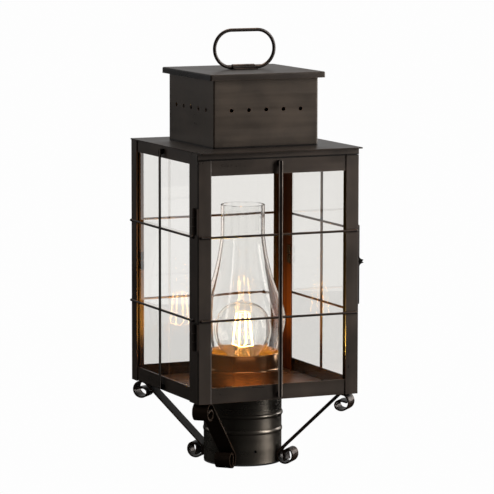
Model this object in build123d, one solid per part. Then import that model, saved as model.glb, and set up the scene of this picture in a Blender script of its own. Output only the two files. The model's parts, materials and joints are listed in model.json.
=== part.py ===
"""Post top lantern: a glazed metal box on a round post fitter.

A square body of folded sheet metal carries three fixed panes and a glazed door,
a flat roof, a vented stack with a lid and a carrying ring. Inside, a globe bulb
stands in a glass chimney that is held in a rolled rim cup. Four scroll brackets
brace the body against the fitter.

Millimetres, +Z up. The origin is on the fitter's axis at its lower rim. The door
faces -Y and is hinged at the left (-X), front corner.
"""
import os
from math import atan2, cos, degrees, hypot, radians, sin

from build123d import *

# ---------------------------------------------------------------- driving sizes
# Post and fitter
POST_DIAMETER = 76.2          # standard 3 inch lamp post
POST_CLEARANCE = 0.5          # radial play of the post in the fitter
FITTER_WALL = 1.2
FITTER_HEIGHT = 75.6
STOP_BEAD_Z = 48.3            # the pronounced rolled bead
STOP_BEAD_RISE = 1.3
LOWER_BEAD_Z = 32.0           # the softer rolled bead
LOWER_BEAD_RISE = 0.7
BEAD_HALF_HEIGHT = 2.4
SET_SCREW_Z = 13.0
SET_SCREW_HOLE_DIAMETER = 3.2
SET_SCREW_COUNT = 3
SET_SCREW_TURN = -5.0         # degrees that the first hole is turned from the door's middle

# Body
SHEET = 1.2                   # gauge of the posts, rails, roof and base
BODY_SIDE = 174.0             # square, over the corner posts
BODY_HEIGHT = 248.4           # underside of the body to underside of the roof
BACK_SIDE_FLANGE = 15.0       # side flange of the back posts
BACK_FLANGE = 13.0            # flange of the back posts behind the back pane
FRONT_SIDE_FLANGE = 21.0      # side flange of the front posts, carries the hinges
FRONT_FLANGE = 8.5            # flange of the front posts behind the door
BEND_RADIUS = 1.6             # outer radius of a fold
TOP_RAIL_HEIGHT = 11.8
BOTTOM_RAIL_HEIGHT = 14.5
RAIL_LEDGE = 10.0             # inward fold of the bottom rails, under the base
BASE_LIP = 5.0                # upturned front edge of the base plate
FIT_GAP = 0.2                 # assembly play between soldered pieces
GLASS = 2.0                   # window glass
GLASS_PLAY = 0.3              # play of a pane in its glazing
LEFT_ANGLE_LEG = 6.0          # back glazing angle at the left, leg along the side pane
RIGHT_ANGLE_LEG = 24.0        # the same at the right
END_ANGLE_LEG = 7.0           # back glazing angles, leg along the back pane
FRONT_ANGLE_LEG = 18.0        # glazing angle at the front, leg along the side panes
FRONT_ANGLE_RETURN = 3.6      # glazing angle at the front, leg behind the door frame
TAB_HEIGHT = 8.5              # spring tabs on the panes, at half height
TAB_SPACING = 10.0
TAB_LENGTH = 9.0
TAB_SHEET = 0.6
TAB_LIFT = 1.4                # rise of a tab's tip off the glazing angle
LEFT_TAB_ROOT = 0.6           # root of the tabs from the left angle's inner corner
RIGHT_TAB_ROOT = 12.6         # the same at the right

# Roof, stack and ring
ROOF_SIDE_OVERHANG = 0.5
ROOF_FRONT_OVERHANG = 8.7     # past the front of the door
STACK_SIDE = 114.0
STACK_HEIGHT = 72.8
STACK_SHEET = 1.0
STACK_FOOT = 7.0              # inward fold that sits on the roof
HEAT_HOLE_SIDE = 96.0
VENT_HOLE_DIAMETER = 4.2
VENT_HOLE_PITCH = 18.8
VENT_HOLES = 5                # on each face
VENT_HOLE_Z = 37.4            # above the roof
LID_SIDE = 125.0
LID_LIP = 4.8
LID_BEND_RADIUS = 1.4
RING_WIRE = 3.5
RING_WIDTH = 69.0
RING_HEIGHT = 41.0
RING_SLIDE = 1.5              # the ring rests this far to the right in its strap
RING_PLAY = 0.3               # ring wire in its strap and over the lid
STRAP_LENGTH = 24.0
STRAP_SHEET = 1.1
STRAP_FOOT = 7.0

# Scroll brackets
SCROLL_WIDTH = 16.5
SCROLL_SHEET = 1.6
SCROLL_DIAMETER = 18.0        # over the outer turn of a curl
SCROLL_OUTER_TURN = 255.0     # degrees of the outer turn
SCROLL_HOOK_DIAMETER = 10.8   # over the hook at a curl's inner end
SCROLL_HOOK_TURN = 154.0      # degrees of the hook
SCROLL_TAIL_RADIUS = 40.0     # the tip past the hook is nearly straight
SCROLL_TAIL_LENGTH = 7.6
SCROLL_DROP = 1.7             # the lower curls reach this far below the fitter
SCROLL_INSET = 14.0           # centre of the upper curls inside the body's corner

# Guard wires
BAR_WIRE = 2.4
UPRIGHT_WIRE = 2.8
UPRIGHT_BEND = 30.0           # centreline radius where the wire rises over the level wires
UPRIGHT_SEAT = 10.0           # length of the wire's flat seat on each rail
BAR_COUNT = 2                 # level wires divide the body's height evenly
BAR_END_MARGIN = 2.0          # bar end to the edge of the body or door
HINGE_SIDE_BAR_MARGIN = 9.5   # bar end to the front edge on the side faces
UPRIGHT_END_MARGIN = 2.4      # upright's end to the rail's outer edge

# Door
DOOR_GAP = 0.3                # door frame to body
DOOR_SHEET = 1.0
DOOR_SIDE_PROUD = 0.2         # door frame past the body at each side
DOOR_BOTTOM_GAP = 0.2
DOOR_TOP_GAP = 0.4
STILE_WIDTH = 13.8
DOOR_TOP_RAIL = 15.6
DOOR_BOTTOM_RAIL = 15.4
HEADER_HEIGHT = 6.3           # fixed strip over the door
DOOR_GLASS_OVERLAP = 3.6      # glass behind the frame
CLIP_WIDTH = 8.0
CLIP_SHEET = 0.6
CLIP_REACH = 4.0
CLIP_SPREAD = 52.0            # clips at this distance each side of the middle

# Hinges and latch
KNUCKLE_DIAMETER = 4.0
HINGE_PIN_DIAMETER = 2.0
HINGE_PIN_PLAY = 0.05
HINGE_LENGTH = 25.5
KNUCKLES = 3
KNUCKLE_GAP = 0.3
HINGE_SHEET = 1.0
HINGE_SETBACK = 4.5           # hinge axis behind the body's front edge
HINGE_POST_LEAF = 8.0         # leaf on the post, from the axis
HINGE_BAR_GAP = 3.2           # hinges clear the level wires by this, on their outer sides
PIN_HEAD_DIAMETER = 3.0
PIN_HEAD_HEIGHT = 0.8
LATCH_LENGTH = 80.0
LATCH_RAISE = 10.0            # latch above the door's middle
LATCH_SHEET = 1.0
LATCH_DEPTH = 8.8
LATCH_CORNER_RADIUS = 1.6
GRIP_RAISE = 3.0              # grip above the latch's middle
GRIP_WIDTH = 6.0
GRIP_SHEET = 0.8
GRIP_REACH = 5.0
GRIP_FOOT = 6.4               # half the height of the grip's foot
GRIP_TIP = 1.7                # half the spread of its two tips

# Chimney cup and chimney
CUP_DIAMETER = 75.4
CUP_HEIGHT = 34.2
CUP_SHEET = 0.8
CUP_RIM_BEAD = 2.0            # diameter of the rolled rim
CUP_BEAD_Z = 17.0             # above the cup's floor
CUP_BEAD_RISE = 1.1
CHIMNEY_WALL = 1.5
CHIMNEY_HEIGHT = 182.5
CHIMNEY_BASE_RADIUS = 34.0
CHIMNEY_CUP_RADIUS = 35.8     # where it leaves the cup
CHIMNEY_BULGE_RADIUS = 43.8
CHIMNEY_BULGE_HEIGHT = 64.0
CHIMNEY_NECK_RADIUS = 22.3
CHIMNEY_NECK_HEIGHT = 153.0
CHIMNEY_SEAT_GAP = 0.3

# Lamp holder and bulb
SOCKET_DIAMETER = 36.0
SOCKET_HEIGHT = 34.0
SOCKET_WALL = 3.4
SOCKET_FLOOR = 5.0
SOCKET_HOLE_PLAY = 1.5
BRIDGE_WIDTH = 20.0
BRIDGE_DROP = 22.0            # bridge's underside below the base plate
BRIDGE_TAB = 10.5
RIVET_DIAMETER = 3.0
RIVET_HEAD_DIAMETER = 6.0
RIVET_HEAD_HEIGHT = 1.6
NIPPLE_DIAMETER = 9.8
NIPPLE_BORE = 6.5
NIPPLE_LENGTH = 14.0
NIPPLE_NUT_WIDTH = 14.0       # across the flats
NIPPLE_NUT_HEIGHT = 3.0
SHELL_SHEET = 0.5
SHELL_PLAY = 0.35             # bulb cap in the socket's screw shell
SHELL_HEIGHT = 24.0
CAP_DIAMETER = 26.0
CAP_HEIGHT = 24.0
CONTACT_DIAMETER = 9.0
CONTACT_HEIGHT = 3.2
SPRING_SHEET = 0.5
SPRING_WIDTH = 6.0
SPRING_LENGTH = 16.0
BULB_LENGTH = 101.4
BULB_DIAMETER = 59.0
BULB_WALL = 0.9
BULB_NECK_RADIUS = 12.4
STEM_RADIUS = 3.0
STEM_TOP_BELOW_CENTRE = 18.0
FILAMENTS = 4
FILAMENT_DIAMETER = 1.5
FILAMENT_LENGTH = 34.0
FILAMENT_CIRCLE = 8.8
FILAMENT_TILT = 7.0
FILAMENT_RAISE = 1.0          # filaments' middle above the globe's centre
BULB_SEAT_GAP = 0.3

# ---------------------------------------------------------------- worked-out places
FITTER_BORE_RADIUS = POST_DIAMETER / 2 + POST_CLEARANCE
FITTER_RADIUS = FITTER_BORE_RADIUS + FITTER_WALL
HALF = BODY_SIDE / 2
RAIL_FACE = HALF - SHEET                  # outer face of the rails
RAIL_END = RAIL_FACE - max(BEND_RADIUS - SHEET, FIT_GAP)   # rails stop at the posts' inner bends
PANE_FACE = RAIL_FACE - SHEET             # outer face of the fixed panes
PANE_BACK = PANE_FACE - GLASS
ANGLE_FACE = PANE_BACK - GLASS_PLAY       # glazing angles, face on the panes
ANGLE_BACK = ANGLE_FACE - SHEET
BODY_BOTTOM = FITTER_HEIGHT - SHEET
BODY_TOP = BODY_BOTTOM + BODY_HEIGHT
FLOOR_TOP = FITTER_HEIGHT + SHEET
ROOF_TOP = BODY_TOP + SHEET
STACK_TOP = ROOF_TOP + STACK_HEIGHT
LID_TOP = STACK_TOP + SHEET

DOOR_BACK = HALF + DOOR_GAP               # distances in front of the axis
DOOR_RAIL_FRONT = DOOR_BACK + DOOR_SHEET
DOOR_FRONT = DOOR_RAIL_FRONT + DOOR_SHEET
DOOR_HALF = HALF + DOOR_SIDE_PROUD
DOOR_BOTTOM = BODY_BOTTOM + DOOR_BOTTOM_GAP
HEADER_BOTTOM = BODY_TOP - HEADER_HEIGHT
DOOR_TOP = HEADER_BOTTOM - DOOR_TOP_GAP
STILE_EDGE = DOOR_HALF - STILE_WIDTH      # inner edge of the stiles

HINGE_X = -(DOOR_HALF + KNUCKLE_DIAMETER / 2)
HINGE_Y = -(HALF - HINGE_SETBACK)
CUP_FLOOR = FLOOR_TOP + CUP_SHEET
CUP_TOP = FLOOR_TOP + CUP_HEIGHT
CHIMNEY_BOTTOM = CUP_FLOOR + CHIMNEY_SEAT_GAP
BRIDGE_TOP = FITTER_HEIGHT - BRIDGE_DROP + SHEET
SOCKET_TOP = BRIDGE_TOP + SOCKET_HEIGHT
SOCKET_SEAT = BRIDGE_TOP + SOCKET_FLOOR
SPRING_TOP = SOCKET_SEAT + SPRING_SHEET
BULB_BOTTOM = SPRING_TOP + BULB_SEAT_GAP
BULB_TOP = BULB_BOTTOM + BULB_LENGTH
BULB_CENTRE_Z = BULB_TOP - BULB_DIAMETER / 2
CAP_BOTTOM = BULB_BOTTOM + CONTACT_HEIGHT
CAP_TOP = CAP_BOTTOM + CAP_HEIGHT
RING_AXIS_Z = LID_TOP + RING_PLAY + RING_WIRE / 2
BAR_LEVELS = [BODY_BOTTOM + BODY_HEIGHT * (i + 1) / (BAR_COUNT + 1) for i in range(BAR_COUNT)]
HINGE_LEVELS = (BAR_LEVELS[0] - HINGE_BAR_GAP - HINGE_LENGTH / 2,
                BAR_LEVELS[-1] + HINGE_BAR_GAP + HINGE_LENGTH / 2)
LATCH_Z = (DOOR_BOTTOM + DOOR_TOP) / 2 + LATCH_RAISE

LEFT, RIGHT = -1, 1
FRONT, BACK = -1, 1


# ---------------------------------------------------------------- shared shapes
def block(x_ends, y_ends, z_ends):
    """A rectangular blank between two corners."""
    sizes = [abs(ends[1] - ends[0]) for ends in (x_ends, y_ends, z_ends)]
    middle = [sum(ends) / 2 for ends in (x_ends, y_ends, z_ends)]
    return Pos(*middle) * Box(*sizes)


def disc(radius, z_low, z_high, at=(0, 0)):
    """An upright cylinder between two heights."""
    return Pos(at[0], at[1], (z_low + z_high) / 2) * Cylinder(radius, z_high - z_low)


def outline(points):
    """A closed polygon in the XY plane."""
    return make_face(Polyline(*points, close=True))


def folded(points, folds, gauge, radius=BEND_RADIUS):
    """A folded sheet's section: its outer corners get radius, its inner ones what is left."""
    section = outline(points)
    for (x, y), outer in folds:
        corner = section.vertices().sort_by_distance(Vector(x, y, 0))[0]
        section = fillet(corner, radius if outer else max(radius - gauge, FIT_GAP))
    return section


def upright(section, z_low, z_high):
    """Extrude an XY section between two heights."""
    return extrude(Pos(0, 0, z_low) * section, z_high - z_low)


def along_y(section, y_low, y_high):
    """Extrude a section drawn as (x, z) along Y."""
    placed = Plane((0, y_high, 0), x_dir=(1, 0, 0), z_dir=(0, -1, 0)) * section
    return extrude(placed, y_high - y_low)


def along_x(section, x_low, x_high):
    """Extrude a section drawn as (y, z) along X."""
    placed = Plane((x_low, 0, 0), x_dir=(0, 1, 0), z_dir=(1, 0, 0)) * section
    return extrude(placed, x_high - x_low)


def turned(profile):
    """Revolve a face drawn as (radius, height) about the Z axis."""
    return revolve(Plane.XZ * profile, Axis.Z, 360)


def flipped(solid, side):
    """The piece as drawn for the left side, or its mirror for the right."""
    return solid if side == LEFT else mirror(solid, Plane.YZ)


def quarter(solid, turns):
    """Turn a piece about the lantern's axis by quarter turns."""
    return Rot(0, 0, 90 * turns) * solid


# ---------------------------------------------------------------- fitter and base
def bead_ring(height, rise):
    """One rolled bead: a ring of crescent section on the tube's wall."""
    crown = FITTER_RADIUS + rise
    low, high = height - BEAD_HALF_HEIGHT, height + BEAD_HALF_HEIGHT
    outer = ThreePointArc((FITTER_RADIUS, low), (crown, height), (FITTER_RADIUS, high))
    bore = FITTER_RADIUS - FITTER_WALL
    inner = ThreePointArc((bore, high), (bore + rise, height), (bore, low))
    ends = Line((FITTER_RADIUS, high), (bore, high)) + Line((bore, low), (FITTER_RADIUS, low))
    return make_face(outer + inner + ends)


def post_fitter():
    """Round tube with two rolled beads and three empty set screw holes."""
    levels = [0, LOWER_BEAD_Z, STOP_BEAD_Z, FITTER_HEIGHT]
    low = [levels[0], levels[1] + BEAD_HALF_HEIGHT, levels[2] + BEAD_HALF_HEIGHT]
    high = [levels[1] - BEAD_HALF_HEIGHT, levels[2] - BEAD_HALF_HEIGHT, levels[3]]
    bore = FITTER_BORE_RADIUS
    wall = bead_ring(LOWER_BEAD_Z, LOWER_BEAD_RISE) + bead_ring(STOP_BEAD_Z, STOP_BEAD_RISE)
    for bottom, top in zip(low, high):
        wall += outline([(bore, bottom), (FITTER_RADIUS, bottom), (FITTER_RADIUS, top), (bore, top)])
    tube = turned(wall)
    drill = Rot(90, 0, 0) * Cylinder(SET_SCREW_HOLE_DIAMETER / 2, FITTER_RADIUS * 2)
    drill = Pos(0, -FITTER_RADIUS, SET_SCREW_Z) * drill
    for step in range(SET_SCREW_COUNT):
        tube -= Rot(0, 0, 360 / SET_SCREW_COUNT * step + SET_SCREW_TURN) * drill
    return tube


def rivet_places():
    """Where the two rivets stand that hold the cup, base plate and bridge."""
    reach = SOCKET_DIAMETER / 2 + SOCKET_HOLE_PLAY + SHEET + BRIDGE_TAB / 2
    return [(-reach, 0), (reach, 0)]


def socket_hole(z_low, z_high):
    """Cutter for the hole that the lamp holder comes up through."""
    return disc(SOCKET_DIAMETER / 2 + SOCKET_HOLE_PLAY, z_low, z_high)


def base_plate():
    """Floor of the body, with a front edge turned up behind the door."""
    inner = PANE_FACE - FIT_GAP
    plate_z = (FITTER_HEIGHT, FLOOR_TOP)
    plate = block((-inner, inner), (-RAIL_FACE, inner), plate_z)
    lip = block((-inner, inner), (-RAIL_FACE, -PANE_FACE), (FITTER_HEIGHT, FLOOR_TOP + BASE_LIP))
    plate = plate + lip
    fold = plate.edges().filter_by(Axis.X).sort_by_distance((0, -RAIL_FACE, FITTER_HEIGHT))[0]
    plate = fillet(fold, SHEET * 0.8)
    plate -= socket_hole(FITTER_HEIGHT, FLOOR_TOP)
    for place in rivet_places():
        plate -= disc(RIVET_DIAMETER / 2, FITTER_HEIGHT, FLOOR_TOP, place)
    return plate


# ---------------------------------------------------------------- scroll brackets
def arc_point(centre, radius, angle):
    """Point on a circle at an angle in degrees."""
    return (centre[0] + radius * cos(radians(angle)), centre[1] + radius * sin(radians(angle)))


def curl(centre, start, turn):
    """Arcs of a curl, as (centre, radius, start angle, end angle): outer turn, hook and tip.

    turn is +1 for anticlockwise and -1 for clockwise.
    """
    outer = (SCROLL_DIAMETER - SCROLL_SHEET) / 2
    hook = (SCROLL_HOOK_DIAMETER - SCROLL_SHEET) / 2
    tip_turn = degrees(SCROLL_TAIL_LENGTH / SCROLL_TAIL_RADIUS)
    arcs = ((outer, SCROLL_OUTER_TURN), (hook, SCROLL_HOOK_TURN), (SCROLL_TAIL_RADIUS, tip_turn))
    spans = []
    last = outer
    for radius, sweep_angle in arcs:
        centre = arc_point(centre, last - radius, start)
        end = start + turn * sweep_angle
        spans.append((centre, radius, start, end))
        start, last = end, radius
    return spans


def strap_side(spans, offset):
    """One edge of a curl's strap, offset outwards from its middle."""
    edges = []
    for centre, radius, start, end in spans:
        edges.append(CenterArc(centre, radius + offset, start, end - start))
    return edges


def scroll_bracket():
    """Flat strap with a curl at each end, lying in the XZ plane, outwards along +X."""
    outer = SCROLL_DIAMETER / 2
    lower = (FITTER_RADIUS + FIT_GAP / 2 + outer, outer - SCROLL_DROP)
    upper = (hypot(HALF, HALF) - SCROLL_INSET, BODY_BOTTOM - outer)
    slope = degrees(atan2(upper[1] - lower[1], upper[0] - lower[0]))
    start = slope + 90
    low_curl = curl(lower, start, 1)
    high_curl = curl(upper, start, -1)
    half = SCROLL_SHEET / 2
    pieces = []
    for spans in (low_curl, high_curl):
        outside, inside = strap_side(spans, half), strap_side(spans, -half)
        centre, radius, _, end = spans[-1]
        tip = Line(arc_point(centre, radius + half, end), arc_point(centre, radius - half, end))
        centre, radius, first, _ = spans[0]
        root = Line(arc_point(centre, radius + half, first), arc_point(centre, radius - half, first))
        pieces.append(make_face(Wire(edges_of(outside + inside + [tip, root]))))
    run = Polyline(arc_point(lower, outer, start), arc_point(upper, outer, start),
                   arc_point(upper, outer - SCROLL_SHEET, start),
                   arc_point(lower, outer - SCROLL_SHEET, start), close=True)
    strap = pieces[0] + make_face(run) + pieces[1]
    placed = Plane((0, SCROLL_WIDTH / 2, 0), x_dir=(1, 0, 0), z_dir=(0, -1, 0)) * strap
    return extrude(placed, SCROLL_WIDTH)


def edges_of(lines):
    """All edges of several lines as one list."""
    return [edge for line in lines for edge in line.edges()]


# ---------------------------------------------------------------- body frame
def corner_post(side_flange, end_flange, end_sign):
    """Folded angle at a left corner; end_sign is FRONT or BACK."""
    corner = (-HALF, end_sign * HALF)
    points = [corner, (-HALF, end_sign * (HALF - side_flange)),
              (-RAIL_FACE, end_sign * (HALF - side_flange)), (-RAIL_FACE, end_sign * RAIL_FACE),
              (-HALF + end_flange, end_sign * RAIL_FACE), (-HALF + end_flange, end_sign * HALF)]
    folds = [(corner, True), ((-RAIL_FACE, end_sign * RAIL_FACE), False)]
    return upright(folded(points, folds, SHEET), BODY_BOTTOM, BODY_TOP)


def bottom_rail_section():
    """Angle section: web outside, ledge inwards under the base plate, as (inward, up)."""
    points = [(0, BODY_BOTTOM), (0, BODY_BOTTOM + BOTTOM_RAIL_HEIGHT),
              (SHEET, BODY_BOTTOM + BOTTOM_RAIL_HEIGHT), (SHEET, FITTER_HEIGHT),
              (SHEET + RAIL_LEDGE, FITTER_HEIGHT), (SHEET + RAIL_LEDGE, BODY_BOTTOM)]
    folds = [((0, BODY_BOTTOM), True), ((SHEET, FITTER_HEIGHT), False)]
    return folded(points, folds, SHEET, SHEET * 1.1)


def side_bottom_rail():
    """Bottom rail of the left face, its ledge stopped short of the back rail's web."""
    rail = along_y(Pos(-RAIL_FACE, 0) * bottom_rail_section(), -RAIL_END, RAIL_END)
    ledge_x = (-PANE_FACE + FIT_GAP, -PANE_FACE + RAIL_LEDGE)
    return rail - block(ledge_x, (PANE_FACE - FIT_GAP, RAIL_FACE), (BODY_BOTTOM, FITTER_HEIGHT))


def back_bottom_rail():
    """Bottom rail of the back, its ledge cut back between the side rails' ledges."""
    web_end = PANE_FACE - FIT_GAP
    ledge_end = PANE_FACE - RAIL_LEDGE - FIT_GAP
    section = Pos(RAIL_FACE, 0) * mirror(bottom_rail_section(), Plane.YZ)
    rail = along_x(section, -web_end, web_end)
    for side in (LEFT, RIGHT):
        ends = sorted((side * ledge_end, side * (web_end + 1)))
        rail -= block(ends, (PANE_FACE - RAIL_LEDGE - 1, PANE_FACE), (BODY_BOTTOM - 1, FITTER_HEIGHT))
    return rail


def side_top_rail():
    """Top rail of the left face."""
    x_ends = (-RAIL_FACE, -PANE_FACE)
    return block(x_ends, (-RAIL_END, RAIL_END), (BODY_TOP - TOP_RAIL_HEIGHT, BODY_TOP))


def back_top_rail():
    """Top rail of the back, between the side rails."""
    end = PANE_FACE - FIT_GAP
    return block((-end, end), (PANE_FACE, RAIL_FACE), (BODY_TOP - TOP_RAIL_HEIGHT, BODY_TOP))


def front_header():
    """Fixed strip over the door: a Z section with its front flush with the door's stiles."""
    inner_end = PANE_FACE - FIT_GAP
    neck = HALF - FRONT_FLANGE - FIT_GAP
    front = block((-HALF, HALF), (-DOOR_FRONT, -DOOR_RAIL_FRONT), (HEADER_BOTTOM, BODY_TOP))
    top = block((-neck, neck), (-DOOR_RAIL_FRONT, -RAIL_FACE), (BODY_TOP - SHEET, BODY_TOP))
    back = block((-inner_end, inner_end), (-RAIL_FACE, -PANE_FACE),
                 (BODY_TOP - TOP_RAIL_HEIGHT, BODY_TOP))
    return front + top + back


def glazing_angle(end_sign, side_leg, end_leg):
    """Inner angle at a left corner that holds the panes' upright edges."""
    face = ANGLE_FACE if end_sign > 0 else PANE_FACE - GLASS_PLAY
    inner = face - SHEET
    points = [(-ANGLE_FACE, end_sign * face), (-ANGLE_FACE, end_sign * (face - side_leg)),
              (-ANGLE_BACK, end_sign * (face - side_leg)), (-ANGLE_BACK, end_sign * inner),
              (-ANGLE_FACE + end_leg, end_sign * inner), (-ANGLE_FACE + end_leg, end_sign * face)]
    folds = [(points[0], True), (points[3], False)]
    return upright(folded(points, folds, SHEET), FLOOR_TOP, BODY_TOP)


def fixed_pane_side():
    """Left pane."""
    y_ends = (-(PANE_FACE - 2 * GLASS_PLAY), PANE_BACK - GLASS_PLAY)
    return block((-PANE_FACE, -PANE_BACK), y_ends, (FLOOR_TOP, BODY_TOP - GLASS_PLAY))


def fixed_pane_back():
    """Back pane, behind the side panes' edges."""
    end = PANE_FACE - FIT_GAP
    return block((-end, end), (PANE_BACK, PANE_FACE), (FLOOR_TOP, BODY_TOP - GLASS_PLAY))


def glass_tabs():
    """Two bent spring tabs on the side leg of each back glazing angle."""
    middle = (BODY_BOTTOM + BODY_TOP) / 2
    # Drawn as (forward from the tab's root, inward from the side), foot on the angle's leg
    foot = [(0, 0), (TAB_LENGTH, 0), (TAB_LENGTH, TAB_SHEET), (TAB_LIFT, TAB_SHEET),
            (0, TAB_LIFT + TAB_SHEET), (-TAB_SHEET / 2, TAB_LIFT)]
    tabs = []
    for side, root in ((LEFT, LEFT_TAB_ROOT), (RIGHT, RIGHT_TAB_ROOT)):
        tip = ANGLE_BACK - root - TAB_LENGTH
        bent_up = [(-ANGLE_BACK + inward, tip + forward) for forward, inward in foot]
        for level in (-1, 1):
            z_low = middle + level * TAB_SPACING / 2 - TAB_HEIGHT / 2
            tab = upright(outline(bent_up), z_low, z_low + TAB_HEIGHT)
            tabs.append(flipped(tab, side))
    return tabs


# ---------------------------------------------------------------- guard wires
def guard_bars(face, end_low, end_high):
    """Level wires on a face at +X distance face, from end_low to end_high along Y."""
    bars = []
    for height in BAR_LEVELS:
        wire = Rot(90, 0, 0) * Cylinder(BAR_WIRE / 2, end_high - end_low)
        wire = fillet(wire.edges().filter_by(GeomType.CIRCLE), BAR_WIRE / 4)
        bars.append(Pos(face + BAR_WIRE / 2, (end_low + end_high) / 2, height) * wire)
    return bars


def guard_upright(bar_face, rail_face, z_low, z_high):
    """Upright wire bowed over the level wires, its ends lying flat on the rails."""
    radius = UPRIGHT_WIRE / 2
    seat, crest = rail_face + radius, bar_face + BAR_WIRE + radius
    over_bars = [(crest, height) for height in sorted({BAR_LEVELS[0], BAR_LEVELS[-1]})]
    places = [(seat, z_low), (seat, z_low + UPRIGHT_SEAT), *over_bars,
              (seat, z_high - UPRIGHT_SEAT), (seat, z_high)]
    path = Plane.XZ * FilletPolyline(*places, radius=UPRIGHT_BEND)
    return sweep(Pos(seat, 0, z_low) * Circle(radius), path)


# ---------------------------------------------------------------- roof, stack and ring
def roof_plate():
    """Flat roof with the heat hole under the stack."""
    side = HALF + ROOF_SIDE_OVERHANG
    plate = block((-side, side), (-(DOOR_FRONT + ROOF_FRONT_OVERHANG), side), (BODY_TOP, ROOF_TOP))
    plate = fillet(plate.edges().filter_by(Axis.Z), SHEET)
    hole = HEAT_HOLE_SIDE / 2
    return plate - block((-hole, hole), (-hole, hole), (BODY_TOP, ROOF_TOP))


def square_ring(outer, inner, z_low, z_high, radius):
    """A square tube with rounded upright edges."""
    tube = extrude(Pos(0, 0, z_low) * RectangleRounded(outer, outer, radius), z_high - z_low)
    bore = Pos(0, 0, z_low) * RectangleRounded(inner, inner, max(radius - (outer - inner) / 2, 0.2))
    return tube - extrude(bore, z_high - z_low)


def vent_stack():
    """Square stack with a row of vent holes in each face and a foot on the roof."""
    inner = STACK_SIDE - 2 * STACK_SHEET
    stack = square_ring(STACK_SIDE, inner, ROOF_TOP, STACK_TOP, BEND_RADIUS)
    foot_inner = inner - 2 * STACK_FOOT
    stack += square_ring(STACK_SIDE - STACK_SHEET, foot_inner, ROOF_TOP, ROOF_TOP + STACK_SHEET,
                         BEND_RADIUS)
    for step in range(VENT_HOLES):
        offset = (step - (VENT_HOLES - 1) / 2) * VENT_HOLE_PITCH
        drill = Cylinder(VENT_HOLE_DIAMETER / 2, STACK_SIDE + 2)
        height = ROOF_TOP + VENT_HOLE_Z
        stack -= Pos(offset, 0, height) * Rot(90, 0, 0) * drill
        stack -= Pos(0, offset, height) * Rot(0, 90, 0) * drill
    return stack


def stack_lid():
    """Flat lid with its edges folded down round the stack's top."""
    blank = extrude(Pos(0, 0, STACK_TOP - LID_LIP) * RectangleRounded(LID_SIDE, LID_SIDE, BEND_RADIUS),
                    LID_LIP + SHEET)
    blank = fillet(blank.faces().sort_by(Axis.Z)[-1].edges(), LID_BEND_RADIUS)
    inner = LID_SIDE - 2 * STACK_SHEET
    hollow = Pos(0, 0, STACK_TOP - LID_LIP) * RectangleRounded(inner, inner, BEND_RADIUS / 2)
    return blank - extrude(hollow, LID_LIP)


def ring_strap():
    """Strap folded over the ring's lower run, with a foot each side on the lid."""
    inner = RING_WIRE / 2 + RING_PLAY
    outer = inner + STRAP_SHEET
    arch = Circle(outer) - Circle(inner)
    arch = Pos(0, RING_AXIS_Z) * arch
    legs = Rectangle(outer * 2, RING_AXIS_Z - LID_TOP, align=(Align.CENTER, Align.MIN))
    gap = Rectangle(inner * 2, RING_AXIS_Z - LID_TOP, align=(Align.CENTER, Align.MIN))
    feet = Rectangle(2 * (outer + STRAP_FOOT), STRAP_SHEET, align=(Align.CENTER, Align.MIN))
    below = Rectangle(4 * outer, outer, align=(Align.CENTER, Align.MAX))
    section = (arch - Pos(0, RING_AXIS_Z) * below) + Pos(0, LID_TOP) * (legs + feet)
    section -= Pos(0, LID_TOP) * gap
    strap = along_x(section, -STRAP_LENGTH / 2, STRAP_LENGTH / 2)
    return strap


def carrying_ring():
    """Closed ring of wire, flat along the top and along the run in the strap."""
    wire = RING_WIRE / 2
    end_radius = (RING_HEIGHT - RING_WIRE) / 2
    run = RING_WIDTH - RING_HEIGHT
    middle_z = RING_AXIS_Z + end_radius
    ring = Pos(0, 0, RING_AXIS_Z) * Rot(0, 90, 0) * Cylinder(wire, run)
    ring += Pos(0, 0, RING_AXIS_Z + 2 * end_radius) * Rot(0, 90, 0) * Cylinder(wire, run)
    for side in (LEFT, RIGHT):
        section = Plane((side * run / 2, 0, RING_AXIS_Z), x_dir=(0, 1, 0), z_dir=(side, 0, 0)) * Circle(wire)
        axis = Axis((side * run / 2, 0, middle_z), (0, -side, 0))
        ring += revolve(section, axis, 180)
    return Pos(RING_SLIDE, 0) * ring


# ---------------------------------------------------------------- door
def door_stile():
    """Left stile: full height front strip with its outer edge folded back."""
    edge = DOOR_SHEET
    points = [(-DOOR_HALF, -DOOR_FRONT), (-STILE_EDGE, -DOOR_FRONT),
              (-STILE_EDGE, -DOOR_RAIL_FRONT), (-DOOR_HALF + edge, -DOOR_RAIL_FRONT),
              (-DOOR_HALF + edge, -DOOR_BACK), (-DOOR_HALF, -DOOR_BACK)]
    folds = [(points[0], True), (points[3], False)]
    section = folded(points, folds, DOOR_SHEET, DOOR_SHEET * 0.7)
    return upright(section, DOOR_BOTTOM, DOOR_TOP)


def door_rail(z_low, z_high):
    """A rail that laps behind both stiles."""
    end = DOOR_HALF - DOOR_SHEET - FIT_GAP
    return block((-end, end), (-DOOR_RAIL_FRONT, -DOOR_BACK), (z_low, z_high))


def door_glass_ends():
    """Lower and upper edge of the door's pane."""
    low = DOOR_BOTTOM + DOOR_BOTTOM_RAIL - DOOR_GLASS_OVERLAP
    return low, DOOR_TOP - DOOR_TOP_RAIL + DOOR_GLASS_OVERLAP


def door_glass():
    """The door's pane, behind the frame and inside the posts' front flanges."""
    low, high = door_glass_ends()
    end = STILE_EDGE + DOOR_GLASS_OVERLAP
    return block((-end, end), (-DOOR_BACK, -(DOOR_BACK - GLASS)), (low, high))


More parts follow.
